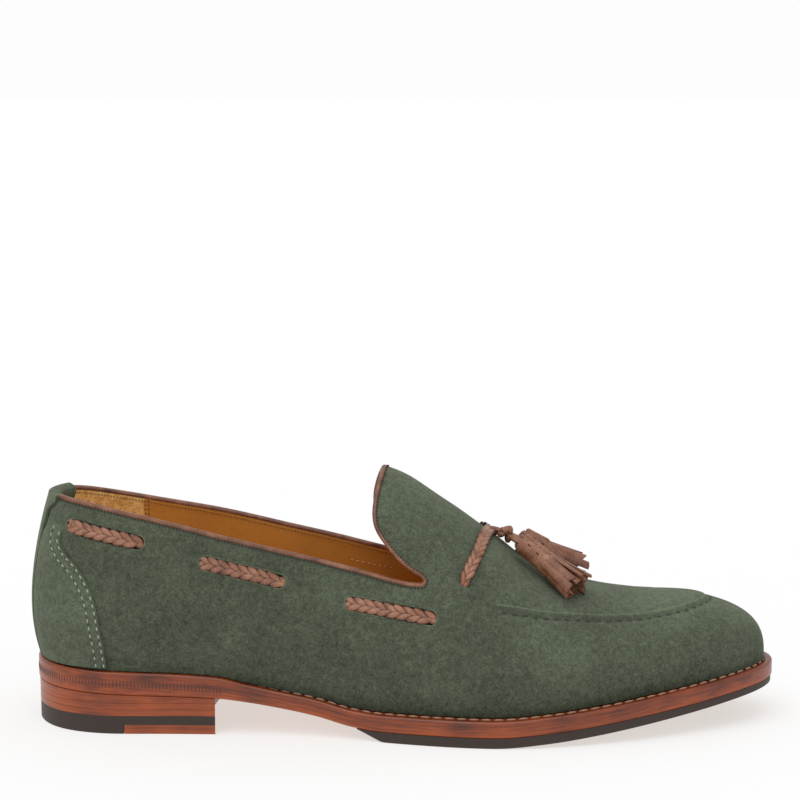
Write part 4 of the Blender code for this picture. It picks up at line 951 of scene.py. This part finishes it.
# The hole rows are short dark dashes between the pale stitches: painted shade in the stitch holes.
# name, distance from the panel's front edge, length of a dash, start, thread
COUNTER_ROWS = (
    ("edge", 0.0007, 0.0016, 0.0, counter_thread), ("edge_hole_shade", 0.0007, 0.0007, 0.5, dark_thread),
    ("inner", 0.0038, 0.0015, 0.0, counter_thread), ("inner_hole_shade", 0.0038, 0.0007, 0.5, dark_thread))
for side, word in ((-1, "lateral"), (1, "medial")):
    def counter_points(u, w, lift=GAP + COUNTER_THICKNESS):
        front_z = edge_heights[0] + (edge_heights[-1] - edge_heights[0]) * w
        back_z = back_low + (back_high - back_low) * w
        front, _ = seen_from_side(side, edge_front(front_z), front_z)
        back = heel_side(side, back_z, BACKSTAY_WIDTH / 2 + GAP)
        s = back + (front - back) * u
        v = rib_at_height(s, back_z + (front_z - back_z) * u)
        sunk = np.clip((w - 0.80) / 0.20, 0, 1)
        return lifted(s, v, lift - (lift + 0.0002) * sunk * sunk * (3 - 2 * sunk))
    counter = lay("counter_" + word, 40, 60, counter_points, counter_nubuck_painted_light, GAP + COUNTER_THICKNESS)
    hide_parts("heel_counter_" + word)
    for row_name, inset, length, start, dash in COUNTER_ROWS:
        z = np.linspace(edge_heights[0] + 0.001, edge_heights[-1] - 0.004, 300)
        x = edge_front(z)
        run = unit(np.gradient(np.stack((x, z), -1), axis=0))
        x, z = x - run[:, 1] * inset, z + run[:, 0] * inset
        s, v = seen_from_side(side, x, z)
        high = np.clip((z / BACK_HEIGHT - 0.78) / 0.12, 0, 1)
        row = lifted(s, v, GAP + COUNTER_THICKNESS - 0.0010 * high * high * (3 - 2 * high))
        stitches = sew_along("counter_%s_%s" % (word, row_name), row, last_normal(s, v), COUNTER_PITCH,
                             (length, 0.00055, 0.0005), dash, start)


# Backstay: a strip of nubuck up the back seam, folded over the collar and sewn down inside.
BACKSTAY_THICKNESS = 0.0011
BACKSTAY_FOLD = 0.0040
FOLD_SEAT = 0.0007
rim_z = float(np.interp(place_along(COLLAR_BACK), line[:60, 0], line[:60, 1]))


def backstay_points(u, w):
    tab = np.clip((u - 0.74) / 0.06, 0, 1)
    reach = (BACKSTAY_WIDTH / 2 + 0.0040 * tab * tab * (3 - 2 * tab)) * (2 * w - 1)
    climb = np.clip(u / 0.80, 0, 1)
    over = np.clip((u - 0.80) / 0.06, 0, 1)
    down = np.clip((u - 0.86) / 0.14, 0, 1)
    z = back_low + (rim_z - back_low) * climb - BACKSTAY_FOLD * down
    side = np.where(reach < 0, -1.0, 1.0)
    s = np.where(reach < 0, heel_side(-1, z, abs(reach)), heel_side(1, z, abs(reach)))
    v = rib_at_height(s, z)
    outside = GAP + BACKSTAY_THICKNESS
    inside = -WALL - FOLD_SEAT - BACKSTAY_THICKNESS
    middle, half = (outside + inside) / 2, (outside - inside) / 2
    turn = over * math.pi
    height = np.where(down > 0, inside, middle + half * np.cos(turn))
    point = lifted(s, v, height)
    point[:, 2] += BINDING_HEIGHT * 1.10 * np.sqrt(np.maximum(np.sin(turn), 0)) * (down <= 0)
    return point


backstay = lay("backstay_strip", 100, 24, backstay_points, counter_nubuck_painted_light, BACKSTAY_THICKNESS)
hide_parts("backstay")


# Collar braid: a flat plait of brown lace that runs round the collar inside the upper and shows
# in three windows on each side. Each window is a slot with round ends and a raw, paler rim.
WINDOW_WIDTH = 0.0058
BRAID_PITCH = 0.0040
WINDOWS = (
    ("heel", BACK_HEIGHT, 0.0505, 0.889, 0.1566, 0.816),
    ("quarter", BACK_HEIGHT, 0.2275, 0.745, 0.3421, 0.656),
    ("throat", INSTEP_HEIGHT, 0.4192, 0.530, 0.5404, 0.477))
braid_leather = brown_leather("braid_leather", 0.34, 0.06, relief=0.12, painted_leaf_shade=0.40)
hollow, place, wear = finish_of("braid_shadow", 0.9)
wear(place.noise(900).tint((0.012, 0.008, 0.006, 1), (0.040, 0.022, 0.015, 1)))
rim_nubuck = nubuck("rim_nubuck", 0.14)


def plait(name, centres, normals, width, pitch, material, depth=0.0009):
    """A flat plait along a path: slim leaves in two rows, which slant in to meet in the middle and
    point along the path, each tucked under the next."""
    travel = np.concatenate(((0,), np.cumsum(np.linalg.norm(np.diff(centres, axis=0), axis=1))))
    number = np.arange(2 * int(travel[-1] / pitch + 0.7) + 1)
    at = np.clip((number * 0.5 - 0.1) * pitch, 0, travel[-1])

    def along_path(values, spots):
        return np.stack([np.interp(spots, travel, values[:, k]) for k in range(3)], -1)
    run = unit(along_path(centres, at + 0.001) - along_path(centres, at - 0.001))
    up = unit(along_path(normals, at))
    across = unit(np.cross(up, run)) * np.where(number % 2, 1.0, -1.0)[:, None]
    slant = unit(run * 0.93 - across * 0.36 - up * 0.14)
    side = unit(np.cross(up, slant))
    size = np.minimum(1, 0.62 + np.minimum(at, travel[-1] - at) / (0.9 * width))[:, None]
    leaf = bmesh.new()
    bmesh.ops.create_uvsphere(leaf, u_segments=14, v_segments=8, radius=1)
    # each corner's height over the leaf's rim, for painted shade between the leaves and a painted highlight
    # on their tops
    painted_leaf_shade = np.array([max(corner.co.z, 0) for corner in leaf.verts])
    frames = np.stack((slant * pitch * 0.98 * size, side * width * 0.28, np.cross(slant, side) * depth), 1)
    braid = scatter(name, leaf, along_path(centres, at) + across * width * 0.20 * size, frames, material)
    paint(braid, "painted_leaf_shade", lambda places: np.tile(painted_leaf_shade, len(at)))
    return braid


def pill_outline(back, front, half, steps=10):
    """A slot with round ends, seen from the side."""
    run = (front - back) / np.linalg.norm(front - back)
    square = np.array((-run[1], run[0]))
    angles = np.linspace(-math.pi / 2, math.pi / 2, steps + 1)
    front_end = [front + (run * (np.cos(a) - 1) + square * np.sin(a)) * half for a in angles]
    back_end = [back - (run * (np.cos(a) - 1) + square * np.sin(a)) * half for a in angles]
    return np.array(front_end + back_end)


for name, height, back, back_share, front, front_share in WINDOWS:
    ends = (np.array((place_along(back), back_share * height)),
            np.array((place_along(front), front_share * height)))
    for side, word in ((-1, "lateral"), (1, "medial")):
        slot_outline = pill_outline(*ends, WINDOW_WIDTH / 2)
        carve((upper,), (slot_outline, side * 0.008, side * BALL_WIDTH))
        share = np.linspace(0.03, 0.97, 60)[:, None]
        middle = ends[0] + (ends[1] - ends[0]) * share
        s, v = seen_from_side(side, middle[:, 0], middle[:, 1])
        depth = -0.0002 - 0.0014 * np.exp(-np.minimum(share, 1 - share)[:, 0] / 0.07)
        braid = plait("braid_%s_%s" % (word, name), lifted(s, v, depth), last_normal(s, v),
                      WINDOW_WIDTH - 0.0006, BRAID_PITCH, braid_leather)
        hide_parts("collar_braid_%s_%s" % (word, name))
        closed = np.concatenate((slot_outline, slot_outline[:1]))
        rim_s, rim_v = seen_from_side(side, closed[:, 0], closed[:, 1])
        rim_path, rim_normal = last_point(rim_s, rim_v), last_normal(rim_s, rim_v)

        def rim_points(u, w):
            number = np.rint(u * (len(closed) - 1)).astype(int)
            angle = 2 * math.pi * w
            normal = rim_normal[number]
            run = np.roll(rim_path[:-1], -1, 0) - np.roll(rim_path[:-1], 1, 0)
            run = np.concatenate((run, run[:1]))[number]
            across = unit(np.cross(normal, run))
            return (rim_path[number] - normal * 0.00022 + normal * 0.00034 * np.sin(angle)[:, None]
                    + across * 0.00028 * np.cos(angle)[:, None])
        window_rim = lay("window_rim_%s_%s" % (word, name), len(closed) - 1, 8, rim_points, rim_nubuck)

        # A near-black sheet under the slot: painted shadow in the window around and below the braid.
        def floor_points(u, w):
            run = (ends[1] - ends[0]) / np.linalg.norm(ends[1] - ends[0])
            square = np.array((-run[1], run[0]))
            spot = ends[0] + (ends[1] - ends[0]) * u[:, None]
            spot = spot + square * ((w - 0.5) * WINDOW_WIDTH * 1.2)[:, None]
            s, v = seen_from_side(side, spot[:, 0], spot[:, 1])
            return lifted(s, v, np.full_like(v, -0.00115))
        floor = lay("window_shadow_sheet_%s_%s" % (word, name), 24, 4, floor_points, hollow)


# Vamp strap: the same plait, narrower, from a slot on one side over the instep to the other. It
# stands on the vamp and its leaves point down to the slots.
STRAP_WIDTH = 0.0042
STRAP = (
    (0.5737, 0.592), (0.5807, 0.632), (0.5888, 0.672), (0.5955, 0.703), (0.6005, 0.726))
STRAP_CREST = 0.612
strap_x = np.array([float(place_along(along)) for along, _ in STRAP])
strap_z = np.array([share * INSTEP_HEIGHT for _, share in STRAP])
strap_s, strap_v = seen_from_side(-1, strap_x, strap_z)
knots = np.arange(len(STRAP) + 1)
strap_turn = fair_curve(knots, list(abs(strap_s)) + [float(turn_of(STRAP_CREST))])
strap_rise = fair_curve(knots, list(strap_v) + [1.0])
at = np.linspace(0, knots[-1], 60)
for side, word in ((-1, "lateral"), (1, "medial")):
    s, v = side * strap_turn(at), np.minimum(strap_rise(at), 1.0)
    height = 0.0009 - 0.0020 * np.exp(-at / 0.25)
    strap = plait("strap_" + word, lifted(s, v, height)[::-1], last_normal(s, v)[::-1],
                  STRAP_WIDTH * 1.05, 0.0038, braid_leather, 0.0009)
    if side < 0:
        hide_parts("vamp_strap")


# Tassels: each head is a strip of leather rolled into a tight spiral, and its fringe is cut into
# strips that fan out. Both hang from a knot of lace on the crest.
HEAD_RADIUS = 0.0050
FRINGE_SPREAD = 0.0090
FRINGE_DEPTH = 0.0042
KNOT_RADIUS = 0.0034
KNOT_PLACE = (0.6361, -0.026, 0.734)
TASSELS = (("lateral", ((0.6562, -0.083, 0.707), (0.6883, -0.131, 0.636), (0.7299, -0.212, 0.560))),
           ("medial", ((0.6562, 0.050, 0.696), (0.6900, 0.080, 0.638), (0.7355, 0.135, 0.573))))
tassel_leather = brown_leather("tassel_leather", 0.42, 0.04, relief=0.2)
strip_leather = brown_leather("strip_leather", 0.42, 0.0, relief=0.2)


def in_place(point):
    along, across, height = point
    return np.array((float(place_along(along)), across * BALL_WIDTH, height * INSTEP_HEIGHT))


def square_to(run):
    across = unit(np.cross(run, (0.0, 0.0, 1.0)))
    return across, np.cross(across, run)


def lace(name, corners, width, height, material, flat=(0.0, 0.0, 1.0)):
    """A length of lace bent smoothly through corners, oval in section and rounded at its ends."""
    corners = np.array(corners)
    knots = np.arange(len(corners))
    curves = [fair_curve(knots, corners[:, k]) for k in range(3)]

    def lace_points(u, w):
        at = np.clip(u, 0.001, 0.999) * knots[-1]
        centre = np.stack([curve(u * knots[-1]) for curve in curves], -1)
        run = unit(np.stack([curve(at + 0.01) - curve(at - 0.01) for curve in curves], -1))
        across = unit(np.cross(run, flat))
        rise = np.cross(across, run)
        round_end = np.sqrt(np.clip(np.minimum(u, 1 - u) * 12, 0, 1))
        angle = 2 * math.pi * w
        return (centre + across * (width / 2 * np.cos(angle) * round_end)[:, None]
                + rise * (height / 2 * np.sin(angle) * round_end)[:, None])
    return lay(name, 28, 12, lace_points, material)


HEAD_TURNS = 2.6
SEAM_LINE = 0.86
SLIT = (0.0018, 0.0005, 0.0004)
STRIP_WIDTH, STRIP_THICKNESS = 0.0024, 0.0008
OUTER_STRIPS, INNER_STRIPS = 9, 7
slit_shadow_paint, place, wear = finish_of("slit_shadow", 0.9)
wear(place.noise(900).tint((0.012, 0.006, 0.004, 1), (0.030, 0.014, 0.009, 1)))
for word, spots in TASSELS:
    start, waist, end = (in_place(spot) for spot in spots)
    head_run, head_length = unit(waist - start), np.linalg.norm(waist - start)
    head_across, head_up = square_to(head_run)

    def head_spot(angle, radius, share):
        return (start + head_run * (head_length * np.asarray(share))[..., None]
                + (head_across * np.cos(angle)[..., None] + head_up * np.sin(angle)[..., None])
                * np.asarray(radius)[..., None])

    def head_points(u, w):
        angle = 1.05 - 2 * math.pi * HEAD_TURNS * (1 - u)
        radius = 0.0010 + (HEAD_RADIUS - 0.0010) * u ** 0.85
        groove = 1 - 0.07 * np.exp(-((w - SEAM_LINE) / 0.03) ** 2)
        return head_spot(angle, radius * (1 - 0.04 * np.sin(math.pi * w)) * groove, w)
    head = lay("tassel_head_" + word, 120, 26, head_points, tassel_leather, 0.0011)
    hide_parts("tassel_" + word)

    # the rolled edge where the wrap of the head ends, and two slits beside it, drawn as dark dashes of
    # painted shadow
    roll = [head_spot(np.array(1.30), HEAD_RADIUS - 0.0007, share) for share in (-0.02, 0.4, 0.98)]
    lace("tassel_roll_" + word, roll, 0.0024, 0.0024, tassel_leather)
    slits = head_spot(np.array((0.62, 0.52)), np.full(2, HEAD_RADIUS - 0.0002), np.array((0.30, 0.66)))
    outward = unit(slits - (start + np.outer((slits - start) @ head_run, head_run)))
    slits = sew("tassel_slits_" + word, slits, np.tile(head_run, (2, 1)), outward, SLIT, slit_shadow_paint)

    run, length = unit(end - waist), np.linalg.norm(end - waist)
    across, rise = square_to(run)
    count = OUTER_STRIPS + INNER_STRIPS
    number = np.arange(count)
    inner = number >= OUTER_STRIPS
    turned = np.where(inner, (number - OUTER_STRIPS + 0.2) / INNER_STRIPS, (number + 0.35) / OUTER_STRIPS)
    angle = 2 * math.pi * turned
    angle += 0.16 * np.sin(5.3 * number)
    turn_across, turn_rise = np.cos(angle)[:, None], np.sin(angle)[:, None]
    around = across * turn_across + rise * turn_rise
    share = np.where(inner, 0.55, 1.0)[:, None]
    wide = (across * FRINGE_SPREAD * turn_across + rise * FRINGE_DEPTH * turn_rise) * share
    reach = length * (0.95 + 0.07 * np.cos(2.4 * number))
    twist = 0.70 * np.sin(3.1 * number + 0.6)
    slope = 0.0011 * np.sin(4.7 * number)
    strips = bmesh.new()
    bmesh.ops.create_grid(strips, x_segments=14, y_segments=5, size=0.5)
    u, w = np.clip(np.array([corner.co[:2] for corner in strips.verts]) + 0.5, 0, 1).T
    strips = repeat(strips, count)
    spread = u ** 1.25
    root = HEAD_RADIUS * np.where(inner, 0.42, 0.70)[:, None] * (1 - spread)
    places = (waist + run * (reach[:, None] * (u * 1.08 - 0.08) + slope[:, None] * (2 * w - 1) * u)[..., None]
              + around[:, None] * root[..., None] + wide[:, None] * spread[:, None])
    lean = (twist[:, None] * u)[..., None]
    tangent = np.cross(run, around)[:, None]
    breadth = ((w - 0.5) * STRIP_WIDTH * (1 + 0.25 * u))[:, None]
    places = (places + (tangent * np.cos(lean) + around[:, None] * np.sin(lean)) * breadth
              + around[:, None] * (0.0005 * (1 - (2 * w - 1) ** 2))[:, None])
    for corner, spot in zip(strips.verts, places.reshape(-1, 3)):
        corner.co = spot
    make_piece("tassel_strips_" + word, strips, strip_leather, STRIP_THICKNESS)

# the knot: lace wound round itself, with a length to each tassel and a loop back over the crest
knot_centre = in_place(KNOT_PLACE)
knot_leather = brown_leather("knot_leather", 0.45, -0.02)
toward = unit(in_place(TASSELS[0][1][0]) + in_place(TASSELS[1][1][0]) - 2 * knot_centre)
knot_across, knot_up = square_to(toward)
turns = np.linspace(0, 2 * math.pi, 9)
# place along the knot, tilt, radius and width of the lace
KNOT_LOOPS = ((0.0009, 0.3, 0.0023, 0.0026), (-0.0014, -0.4, 0.0019, 0.0024), (-0.0002, 1.3, 0.0021, 0.0022))
for number, (shift, tilt, size, width) in enumerate(KNOT_LOOPS):
    leaning = unit(toward * math.cos(tilt) + knot_up * math.sin(tilt))
    ring_up = np.cross(knot_across, leaning)
    ring = [knot_centre + toward * shift + (knot_across * math.cos(a) + ring_up * math.sin(a)) * size
            for a in turns]
    loop = lace("knot_loop_%d" % number, ring, width, 0.0022, knot_leather, tuple(leaning))
    if number == 0:
        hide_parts("tassel_knot")
for word, spots in TASSELS:
    start, waist = in_place(spots[0]), in_place(spots[1])
    run = unit(waist - start)
    bend = (knot_centre + start) / 2 - knot_up * 0.0002
    lace("neck_" + word, [knot_centre + toward * 0.001, bend, start + run * 0.0015], 0.0036, 0.0026,
         tassel_leather)
crest = last_point(np.array(float(turn_of(STRAP_CREST))), np.array(1.0))
lace("crest_loop", [crest + np.array((-0.0030, -0.002, 0.0026)), crest + np.array((0.0005, 0.001, 0.0018)),
                    knot_centre - toward * 0.0014], 0.0030, 0.0018, knot_leather)


# Apron stitching: thread pulled through pinholes below the seam's ridge; each stitch shows as a
# dark dash in the channel.
APRON_DROP = 0.0028
APRON_PITCH = 0.0044
APRON_STITCH = (0.0024, 0.0008, 0.0005)
apron_thread = thread("apron_thread", (0.022, 0.030, 0.018))
start = float(turn_of(along_at(0.152)))
s = np.concatenate((np.linspace(-start, -0.9999, 700), np.linspace(0.9999, start, 700)))
v = seam_of(s) - APRON_DROP / rib_length(s, seam_of(s))
row = lifted(s, v, seam_relief(s, v) + 0.0001)
apron_stitches = sew_along("apron_stitches", row, last_normal(s, v), APRON_PITCH, APRON_STITCH, apron_thread)


# Insole sock: one tan leather liner on the insole, cupped a little round the foot.
INSOLE_RISE = 0.0020
# place across the sock from edge to edge, and how high it stands there
SOCK_SECTION = (
    (-1, 0.0), (-0.97, 0.6), (-0.90, 0.8), (-0.6, 0.45), (-0.25, 0.15), (0.25, 0.15), (0.6, 0.45),
    (0.90, 0.8), (0.97, 0.6), (1, 0.0))


def insole_points(u, w):
    number = np.rint(w * (len(SOCK_SECTION) - 1)).astype(int)
    across, cup = np.array(SOCK_SECTION)[number].T
    turn = np.maximum(u, 1e-6)
    spread = rib_value(MARGIN, turn) * WELT_MARGIN + WALL + GAP
    lateral, medial = sole_edge(-turn, spread), sole_edge(turn, spread)
    plan = (lateral + medial) / 2 + (medial - lateral) / 2 * across[:, None]
    z = welt_top(plan[:, 0]) + INSOLE_RISE * (0.55 + 0.45 * cup)
    return np.concatenate((plan, z[:, None]), -1)


insole_leather, place, wear = finish_of("insole_leather", 0.42, specular_ior_level=0.4)
cloud, grain = place.noise(50, 3.0), place.noise(1300, 3.0, 0.6)
wear((cloud * 0.6 + grain * 0.4).tint((*LINING_DARK, 1), (*LINING_TAN, 1)), grain, 0.0002, 0.25)
insole = lay("insole_sock", 120, 9, insole_points, insole_leather, 0.0012)
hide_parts("insole")


# Painted light and shade on the upper: paler along the seam's ridge, painted light on the faces that turn up,
# and painted shade that darkens it in the welt's corner and in the seam's channel.
shares = np.zeros(len(upper.data.loops) * 2)
upper.data.uv_layers["laid"].data.foreach_get("uv", shares)
s, v = ribs_place(*shares.reshape(-1, 2).T)
points = last_point(s, v)
off = (v - seam_of(s)) * rib_length(s, seam_of(s))
fade = np.clip((points[:, 0] - RIDGE_START) / RIDGE_FADE, 0, 1)
# paler on the seam's ridge, and painted shade in the channel just below it
nap_and_painted_light = fade * (0.34 * np.exp(-((off - 0.0002) / 0.0005) ** 2) - 0.16 * np.exp(-((off + 0.0018) / 0.0012) ** 2))
# painted shade towards the welt's corner
nap_and_painted_light -= 0.15 * np.exp(-((points[:, 2] - welt_top(points[:, 0])) / 0.0030))
# painted light: paler where the face turns up
nap_and_painted_light += 0.20 * np.clip(last_normal(s, v)[:, 2], 0, 1) - 0.05
attribute = upper.data.attributes.new("nap_and_painted_light", "FLOAT", "CORNER")
attribute.data.foreach_set("value", nap_and_painted_light.astype(np.float32))


# Studio: a flat white floor of paper, which glows in part, under an even white sky, with one broad soft light
# overhead.
paper, place, wear = finish_of("paper", 1.0, base_color=(0.305, 0.350, 0.383, 1), specular_ior_level=0.0,
                               emission_color=(0.660, 0.609, 0.573, 1), emission_strength=1.0)
ground = bmesh.new()
bmesh.ops.create_grid(ground, x_segments=1, y_segments=1, size=40)
mesh = bpy.data.meshes.new("ground")
ground.to_mesh(mesh)
ground.free()
mesh.materials.append(paper)
floor = bpy.data.objects.new("ground", mesh)
bpy.context.scene.collection.objects.link(floor)
world = bpy.data.worlds.new("studio")
bpy.context.scene.world = world
world.use_nodes = True
sky = world.node_tree.nodes["Background"]
ray = world.node_tree.nodes.new("ShaderNodeLightPath")
glow = world.node_tree.nodes.new("ShaderNodeMapRange")
glow.inputs["To Min"].default_value = 0.80
glow.inputs["To Max"].default_value = 0.98
world.node_tree.links.new(ray.outputs["Is Camera Ray"], glow.inputs["Value"])
world.node_tree.links.new(glow.outputs["Result"], sky.inputs["Strength"])
sky.inputs["Color"].default_value = (1, 1, 1, 1)
lamp = bpy.data.lights.new("overhead", "SUN")
lamp.angle, lamp.energy = math.radians(50), 1.10
holder = bpy.data.objects.new("overhead", lamp)
holder.rotation_euler = Vector((-0.22, -0.42, 1.0)).to_track_quat("Z", "Y").to_euler()
bpy.context.scene.collection.objects.link(holder)
camera = bpy.data.objects.new("camera", bpy.data.cameras.new("camera"))
camera.data.sensor_width = 36
camera.data.lens = 101.75
camera.location = (0.114, -0.900, 0.255)
camera.rotation_euler = (math.radians(90 - 7.980), 0, 0)
bpy.context.scene.collection.objects.link(camera)
bpy.context.scene.camera = camera
bpy.context.scene.view_settings.view_transform = "Standard"
